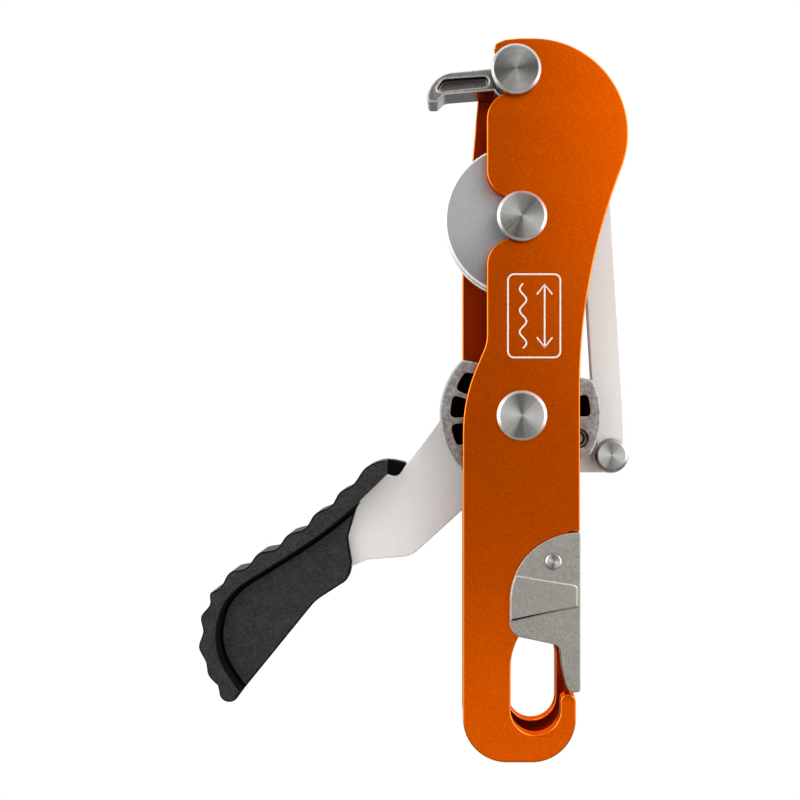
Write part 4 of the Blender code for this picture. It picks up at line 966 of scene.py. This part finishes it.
def dress(piece, finish, body, slot, *nodes):
    """Gives a piece its shading, material and body, and hides the nodes that it stands for."""
    coat(shaded(piece), finish)
    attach(piece, body)
    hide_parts(*nodes)


def hole(centre, radius, edge=0.15, facets=48):
    """A round hole as slab takes it."""
    return circle(centre, radius, facets), edge


def headed(top, seat, radius, chamfer, shank):
    """Profile of a pin with a chamfered head; shank is its (radius, depth) from the seat on."""
    return [(0, top), (radius - chamfer, top), (radius, top + chamfer), (radius, seat), *shank,
            (0, shank[-1][1])]


def make_front_plate():
    holes = [hole(AXLE, AXLE_BORE, 0.2, 96), hole(GATE_PIN, GATE_PIN_RADIUS + GAP / 2, 0.1, 32)]
    plate = slab(front_plate_outline(), 0, FRONT_BACK, PLATE_EDGE, holes)
    plate = plate.piece("front_side_plate")
    floor = FRONT_BACK - POCKET_DEPTH
    combined(plate, slab(circle(GATE_PIN, POCKET_RADIUS, 48), floor, FRONT_BACK + 1, 0.2))
    leg_room = rounded(moved([(1, -8, 0.3), (8, -8, 0.3), (8, -1.2, 0.3),
                              (1, -1.2, 0.3)], GATE_PIN))
    combined(plate, slab(leg_room, floor + 0.35, FRONT_BACK + 1.2, 0.1))
    dress(plate, ORANGE, "side_plate", "orange_anodised", "front_plate")


def make_rear_plate():
    holes = [(eye_outline(), PLATE_EDGE)]
    holes += [hole(post, POST_CORE_RADIUS + GAP / 2, 0.2, 96) for post in POSTS]
    holes += [hole(BOBBIN - Vector((0, DOWEL_REACH)), DOWEL_RADIUS + GAP / 2, 0.1, 32),
              hole(STOP_PIN, STOP_PIN_RADIUS + GAP / 2, 0.1, 32)]
    plate = slab(rear_plate_outline(), REAR_FACE, REAR_BACK, PLATE_EDGE, holes)
    dress(plate.piece("rear_side_plate"), ORANGE, "root", "orange_anodised", "rear_plate")


def make_pin(name, centre, finish, body, *profile):
    """A pin with a head; its profile is what headed asks for."""
    piece = turned(name + "_turned", headed(*profile), centre)
    dress(piece, finish, body, "turned_steel", name)


def make_posts():
    """Each post has a turned head, a neck in the front plate's notch, a body and a core."""
    end = REAR_BACK - 0.5
    for name, centre, neck, body in (
            ("main_axle", AXLE, JOURNAL_RADIUS, JOURNAL_RADIUS),
            ("upper_bobbin_post", BOBBIN, POST_NECK_RADIUS, POST_NECK_RADIUS),
            ("top_post", TOP_POST, POST_NECK_RADIUS, TOP_POST_BODY)):
        make_pin(name, centre, STEEL, "root", -GAP - POST_HEAD_HEIGHT, -GAP, POST_HEAD_RADIUS,
                 POST_HEAD_CHAMFER, [
                     (neck, -GAP), (neck, INNER_FRONT), (body, INNER_FRONT + 0.001),
                     (body, INNER_REAR), (POST_CORE_RADIUS, INNER_REAR),
                     (POST_CORE_RADIUS, end)])


def make_screws():
    """One screw head with a hexagon socket, repeated at the three posts."""
    back = REAR_BACK + GAP
    top = back + SCREW_HEIGHT
    rows = [(SCREW_RADIUS * 0.28, top), (SCREW_RADIUS * 0.22, top - 0.12),
            (SCREW_RADIUS * 0.1, top - 0.6), (0.3, top - 1.2), (0, top - 1.7),
            (0, back + 0.15), (0.15, back)]
    hexagon = rounded(cornered(circle((0, 0), SCREW_SOCKET, 6), 0.25))
    socket = pocket_rows(top, top - SCREW_SOCKET_DEPTH, 0.2)
    head = Solid(circle((0, 0), SCREW_RADIUS), rows, pockets=[(hexagon, socket)])
    screw = shaded(head.piece("screw_pattern"))
    places = drawn("post_screws", [(post.x * MM, 0, post.y * MM) for post in POSTS])
    screws = REPEATED.apply(places, {"Piece": screw})
    bpy.data.objects.remove(screw, do_unlink=True)
    dress(screws, SATIN, "root", "turned_steel", "main_axle_screw", "upper_bobbin_screw",
          "top_post_screw")


def make_upper_bobbin():
    front, back = INNER_FRONT, INNER_REAR
    middle = (front + back) / 2
    bore, radius, groove = POST_NECK_RADIUS + GAP, BOBBIN_RADIUS, BOBBIN_GROOVE_RADIUS
    half = [(bore, front), (radius - 0.6, front), (radius, front + 0.6), (radius, front + 2.4),
            (groove + 1, middle - 2.9), (groove, middle - 1.7)]
    profile = half + mirrored(half, front, back) + half[:1]
    bobbin = turned("upper_bobbin_turned", profile, BOBBIN, 0.4, 160)
    dress(bobbin, SATIN, "root", "satin_aluminium", "upper_bobbin")


def make_cam():
    front, back = INNER_FRONT, CAM_BACK
    middle = (front + back) / 2
    slope = (CAM_GROOVE_DEPTH * 0.8, (front + 1.6 + middle) / 2)
    half = edge_rows(front, back, 0.8)[:5] + [(0, front + 1.6), slope]
    rows = half + [(CAM_GROOVE_DEPTH, middle)] + mirrored(half, front, back)
    seat = front + DRIVE_SEAT_DEPTH
    drive = [(0.3, front), (0.1, front + 0.1), (0, front + 0.3), (0, seat), (-1.45, seat),
             (-1.45, back)]
    holes = [(circle(AXLE, AXLE_BORE), edge_rows(front, back, 0.2)),
             (circle(DRIVE_PIN, DRIVE_SEAT_RADIUS, 48), drive)]
    windows = [(cam_window(*ends), pocket_rows(front, front + CAM_POCKET_DEPTH, 0.35, 0.6))
               for ends in CAM_POCKETS]
    cam = Solid(cam_outline(), rows, holes, windows).piece("lower_cam_casting")
    cavity = circle(AXLE, SPRING_CAVITY_RADIUS)
    combined(cam, slab(cavity, front - 1, front + SPRING_CAVITY_DEPTH, 0.2))
    beside = LINK_LOW - LINK_ACROSS * (LINK_WIDTH / 2 + 2 * GAP)
    link_room = [beside + up * LINK_LEAN + away * LINK_ACROSS
                 for up, away in ((-10, 0), (60, 0), (60, 30), (-10, 30))]
    combined(cam, slab(link_room, LINK_FRONT - GAP, back + 1, 0.1))
    dress(cam, CAM_CAST, "lever", "cast_steel", "lower_cam_bobbin")


def make_lever():
    holes = [hole(AXLE, AXLE_BORE, 0.2, 96), hole(LINK_LOW, LINK_PIN_RADIUS + GAP / 2),
             hole(DRIVE_PIN, DOWEL_RADIUS + GAP / 2, facets=32)]
    lever = slab(lever_outline(), LEVER_FRONT, INNER_REAR, 0.45, holes)
    dress(lever.piece("lever_plate"), BLASTED, "lever", "blasted_steel", "handle_lever")


def make_grip():
    """Moulded in one: a thin panel, a ditch, and a thick scalloped band."""
    half_band, half_panel = BAND_THICKNESS / 2, PANEL_THICKNESS / 2
    near, far = LEVER_MIDDLE - half_panel, LEVER_MIDDLE + half_panel
    front = LEVER_MIDDLE - half_band
    grip = slab(inset(tidy(grip_outline()), 0.15), near, far, 0.9).piece("moulded_grip")
    beyond = [(-40, -18, 0), (-60, 0, 0), (-125, -45, 0), (-125, -105, 0),
              (-99, -105, 0)]
    ditch = inset(tidy(rounded(moved(PANEL_BORDER + beyond, AXLE))), -1.3)
    combined(grip, slab(ditch, near - 1, near + DITCH_DEPTH, 0.3))
    combined(grip, slab(ditch, far - DITCH_DEPTH, far + 1, 0.3))
    lip = rounded(moved([(-53.8, -30.2, 0.4), (-57.2, -41, 6), (-55.8, -49.9, 0.5),
                         (-57.2, -50.6, 0.5), (-58.8, -41, 6), (-56, -33.4, 0.5)], AXLE))
    combined(grip, slab(lip, near - 0.7, near + 2, 0.4), "UNION")
    combined(grip, slab(band_outline(), front, LEVER_MIDDLE + half_band, 0.9), "UNION")
    end = -GRIP_FRONT_END
    beside_end = [AXLE + Vector(corner) for corner in (
        (end, 0), (end, -19.8), (-53.6, -28.9), (-53.6, end), (0, end), (0, 0))]
    combined(grip, slab(beside_end, front - 1, LEVER_MIDDLE, 0.1))
    dress(grip, RUBBER, "lever", "charcoal_rubber", "handle_grip")
    paint_grip_shade(grip, half_band, half_band - half_panel)


def paint_grip_shade(grip, half_band, panel_face):
    """Painted shade in near-black rubber on the rims, the band's end and all in the ditch by the
    band.
    """
    border = [Vector(corner[:2]) for corner in moved(PANEL_BORDER, AXLE)]
    grip.data.materials.append(SHADE_RUBBER)
    for face in grip.data.polygons:
        x, y, z = face.center / MM
        off = abs(y + MIDDLE_DEPTH - LEVER_MIDDLE)
        sunk = half_band - off
        deepest = half_band - min(
            abs(grip.data.vertices[i].co.y / MM + MIDDLE_DEPTH - LEVER_MIDDLE)
            for i in face.vertices)
        on_end = off < 0.1 and x - AXLE.x > -GRIP_FRONT_END
        on_band_rim = 0.1 < sunk < 0.5 and deepest < 1.0
        on_panel_rim = 0.05 < sunk - panel_face < 0.8 and deepest < panel_face + 1.0
        in_ditch = 0.4 < sunk < panel_face + DITCH_DEPTH + 0.1 and abs(sunk - panel_face) > 0.03 \
            and min((Vector((x, z)) - corner).length for corner in border) < 1.9
        if on_end or on_band_rim or on_panel_rim or in_ditch:
            face.material_index = 1


def make_link():
    holes = [hole(LINK_LOW, LINK_PIN_RADIUS + GAP), hole(LINK_TOP, LINK_PIN_RADIUS + LINK_PLAY)]
    bar = slab(link_outline(), LINK_FRONT, LINK_BACK, 0.6, holes)
    dress(bar.piece("link_bar_plate"), SHADED_LINK_STEEL, "link", "blasted_steel", "link_bar")
    seat = LINK_FRONT - GAP
    make_pin("link_lower_pin", LINK_LOW, PIN_STEEL, "lever", seat - LINK_HEAD_HEIGHT, seat,
             LINK_HEAD_RADIUS, 1.0, [(LINK_PIN_RADIUS, seat), (LINK_PIN_RADIUS, INNER_REAR + 2.2)])


def make_brake_arm():
    """Cast arm: a deep nose on the left, a hub on the top post, and a thin tab to the link."""
    front, back = INNER_FRONT, INNER_REAR
    nose, pocket = (rounded(moved(corners, TOP_POST)) for corners in (
        [(2, 3.4, 1), (-23, 1.2, 9), (-27.2, -1.9, 9), (-29.1, -6.4, 3),
         (-28.5, -8.5, 1.2), (-25.7, -8.5, 1.5), (-23, -6, 3), (2, -4, 1)],
        [(-26.9, -5.8, 1.2), (-23.6, -0.9, 2.5), (-8.7, 0.1, 1.6), (-8.6, -3.3, 1.6),
         (-22, -4.7, 3)]))
    rows = pocket_rows(front, front + ARM_POCKET_DEPTH, 0.6, 0.8)
    arm = slab(nose, front, back, 0.75, pockets=[(pocket, rows)]).piece("brake_arm_casting")
    combined(arm, slab(inset(tidy(pocket), -0.2), back - ARM_POCKET_DEPTH, back + 1, 0.3))
    combined(arm, slab(circle(TOP_POST, ARM_HUB_RADIUS), front, back, 0.5), "UNION")
    side = direction(ROCKER_ANGLE + pi / 2) * 8.0
    tab = [TOP_POST + side, *arc(LINK_TOP, TAB_RADIUS, ROCKER_ANGLE + pi / 2,
                                 ROCKER_ANGLE - pi / 2), TOP_POST - side]
    combined(arm, slab(tab, front, front + TAB_THICKNESS, 0.4), "UNION")
    bore = circle(TOP_POST, TOP_POST_BODY + 2 * GAP + ARM_BUSH_WALL)
    combined(arm, slab(bore, front - 1, back + 1, 0.1))
    eye = circle(LINK_TOP, LINK_PIN_RADIUS + GAP / 2, 48)
    combined(arm, slab(eye, front - 1, front + TAB_THICKNESS + 1, 0.1))
    dress(arm, ARM_CAST, "brake_arm", "cast_steel", "top_brake_arm")


def make_gate():
    """Two cheeks over the plate, the core that closes the mouth, and a raised thumb pad."""
    front, back = -GAP - GATE_CHEEK, INNER_FRONT + GATE_CHEEK
    outline = rounded([
        (GATE_RIGHT_EDGE, SHOULDER_HEIGHT - GAP, 0.5), (GATE_RIGHT_EDGE, GATE_TIP_HEIGHT, 1.2),
        (GATE_CORE_EDGE - 0.4, GATE_TIP_HEIGHT, 2), (8.8, 13.2, 10), (7.8, 21.2, 3.4),
        (GATE_LEFT_EDGE, 24.7, 4.8)] + gate_round(pi, pi / 2))
    gate = slab(outline, front, back, 0.4, [hole(GATE_PIN, GATE_PIN_RADIUS + GAP, 0.1)])
    gate = gate.piece("gate_casting")
    over, under, beyond = SHOULDER_HEIGHT + 5, GATE_TIP_HEIGHT - 5, GATE_LEFT_EDGE - 5
    room = rounded([(GATE_CORE_EDGE, over, 0), (GATE_CORE_EDGE, 24, 1.5), (8.9, 17.5, 1.5),
                    (9.6, 10, 1), (GATE_CORE_EDGE, under, 0), (beyond, under, 0),
                    (beyond, over, 0)])
    combined(gate, Solid(room, [(0, -GAP), (0, INNER_FRONT)]))
    leave = pi - asin(1 - GATE_PAD_DROP / GATE_ROUND)
    pad = rounded([(GATE_LEFT_EDGE, 29, 0.3)] + gate_round(pi, leave)
                  + [(12.4, 41.3, 1), (13.8, 40.4, 1.2), (13.6, 33.6, 1), (11.8, 33.2, 0.4)])
    top = front - GATE_PAD_HEIGHT
    rows = [(0.8, top), (0.6, top + 0.04), (0.3, top + 0.25), (0.05, top + 0.58),
            (0.02, front + 0.5)]
    combined(gate, Solid(pad, rows), "UNION")
    dress(gate, GATE_GREY, "gate_latch", "gate_steel", "gate")
    seat = front - GAP
    profile = headed(seat - GATE_PIN_HEAD_HEIGHT, seat, GATE_PIN_HEAD, 0.35, [
        (GATE_PIN_RADIUS, seat), (GATE_PIN_RADIUS, back + 0.3)])
    pin = turned("gate_pin_turned", profile, GATE_PIN, 0.1, 64)
    dress(pin, STEEL, "side_plate", "turned_steel", "gate_pin")


def make_print():
    """A plain printed sign: a frame with an arrow that points both ways beside a rope."""
    height = (-SIGN_FILM / 2 - MIDDLE_DEPTH) * MM

    def flat(points):
        return [((SIGN_MIDDLE.x + p[0]) * MM, height, (SIGN_MIDDLE.y + p[1]) * MM)
                for p in points]

    border = rounded([(-8.5, -13.5, 2.0), (8.5, -13.5, 2.0), (8.5, 13.5, 2.0),
                      (-8.5, 13.5, 2.0)])
    rope = [(-3.6 + 1.1 * sin(i / 48 * 6 * pi), -10.5 + 21 * i / 48) for i in range(49)]
    arrow = [[(3.4, -10.0), (3.4, 10.0)]] + [
        [(0.9, 7.0 * way), (3.4, 10.2 * way), (5.9, 7.0 * way)] for way in (1, -1)]
    for lines in (poly_curve("sign_lines_print", [flat(line) for line in [rope] + arrow]),
                  poly_curve("sign_frame_print", [flat(border)], True)):
        marks = PRINTED.apply(lines, {"Stroke": SIGN_STROKE * MM, "Film": SIGN_FILM * MM})
        coat(marks, PRINT)
        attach(marks, "side_plate")


def finish_small_parts():
    """Nodes whose shape is right keep it and only get their finish."""
    for finish, names in (
            (SATIN, ("bobbin_dowel", "lever_stop_pin", "drive_pin", "link_upper_pin")),
            (BRONZE, ("front_plate_bush", "cam_bush", "top_arm_bush")),
            (SPRING_WIRE, ("gate_spring", "return_spring", "link_lower_clip",
                           "link_upper_clip"))):
        for name in names:
            coat(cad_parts[name], finish)


# ---- studio

CAMERA_PLACE = Vector((-27.8, -397.3, 97.45))
CAMERA_LENS = 53.4
CAMERA_SHIFT = (-0.0625, 0.0125)
FLOOR_DROP = 0.4
LAMP_TARGET = Vector((0, 0, 0.1))


def plain_plane(name, centre, half, facing):
    """A square card of the studio."""
    across = Vector((half, 0, 0))
    up = facing.cross(across)
    corners = [centre - across - up, centre + across - up, centre + across + up,
               centre - across + up]
    card = drawn(name, corners, [(0, 1, 2, 3)])
    return card


def make_floor():
    """White to the camera, pale for scattered light; reflections darken away from the part."""
    floor = plain_plane("floor", Vector((0, 0, cad_low.z - FLOOR_DROP)), 6.0, Vector((0, 0, 1)))
    paint = Finish("pale_floor", 0.0)
    paint.done((0.8, 0.8, 0.8), 0.9)
    rays = paint.add("LightPath")
    camera, glossy = rays.also("Is Camera Ray"), rays.also("Is Glossy Ray")
    away = paint.add("VectorMath", {0: paint.spot}, {"operation": "LENGTH"}, "Value")
    near = paint.swell(away, 0.6, 0.15)
    shine = paint.glow(camera + glossy * (near * 0.7 + 0.28))
    matt = Socket(paint, paint.shader.outputs[0])
    both = paint.add("MixShader", {0: camera + glossy, 1: matt, 2: shine})
    coat(floor, paint.surface(both))


def make_screen():
    """A card that only reflections show: dark at eye level, bright to the upper right and low."""
    screen = plain_plane("camera_screen", Vector((-0.1, -1.0, 0.05)), 1.1, Vector((0, -1, 0)))
    cloth = Finish("grey_screen", 0.0)
    x = cloth.add("SeparateXYZ", {0: cloth.spot})
    z = x.also("Z")
    upper_right = cloth.swell(x, 0.02, 0.35) * cloth.swell(z, 0.0, 0.35)
    low, edge = cloth.swell(z, 0.0, -0.40), cloth.swell(x, -0.25, -0.9)
    coat(screen, cloth.surface(cloth.glow(upper_right * 1.35 + low * 0.85 + edge * 0.7 + 0.34)))
    screen.visible_camera = False
    screen.visible_diffuse = False
    screen.visible_shadow = False


def make_air():
    world = bpy.data.worlds.new("studio")
    scene.world = world
    world.use_nodes = True
    air = Nodes(world.node_tree)
    rays = air.add("LightPath")
    seen = rays.also("Is Camera Ray") + rays.also("Is Glossy Ray") \
        + rays.also("Is Transmission Ray")
    background = world.node_tree.nodes["Background"].inputs
    air.feed(background["Color"], (1, 1, 1))
    air.feed(background["Strength"], seen.math("MINIMUM", 1.0) * 0.45 + 0.55)


def make_lamps():
    for name, place, width, height, power in (
            ("key", (0.9, -1.1, 1.2), 0.9, 0.9, 10.0), ("fill", (-1.1, -0.9, 0.5), 0.9, 0.9, 2.0),
            ("back", (-0.4, 1.0, 1.2), 0.8, 0.8, 8.0),
            ("left_strip", (-1.1, -0.5, 0.12), 1.4, 2.0, 14.0),
            ("right_strip", (1.1, -0.5, 0.12), 1.4, 2.0, 18.5)):
        lamp = bpy.data.lights.new(name, "AREA")
        lamp.shape = "ELLIPSE" if width == height else "RECTANGLE"
        lamp.size, lamp.size_y = width, height
        lamp.energy = power
        light = new_object(name, lamp)
        light.location = place
        light.rotation_euler = (LAMP_TARGET - Vector(place)).to_track_quat("-Z", "Y").to_euler()


def make_camera():
    lens = bpy.data.cameras.new("camera")
    lens.sensor_width = 36.0
    lens.lens = CAMERA_LENS
    lens.shift_x, lens.shift_y = CAMERA_SHIFT
    lens.clip_start = 0.01
    camera = new_object("camera", lens)
    camera.location = CAMERA_PLACE * MM
    camera.rotation_euler = (radians(90), 0, 0)
    scene.camera = camera


make_camera()
for make in (make_rear_plate, make_front_plate, make_posts, make_screws, make_upper_bobbin,
             make_cam, make_lever, make_grip, make_link, make_brake_arm, make_gate, make_print,
             finish_small_parts, make_floor, make_screen, make_air, make_lamps):
    make()
scene.view_settings.view_transform = "Standard"
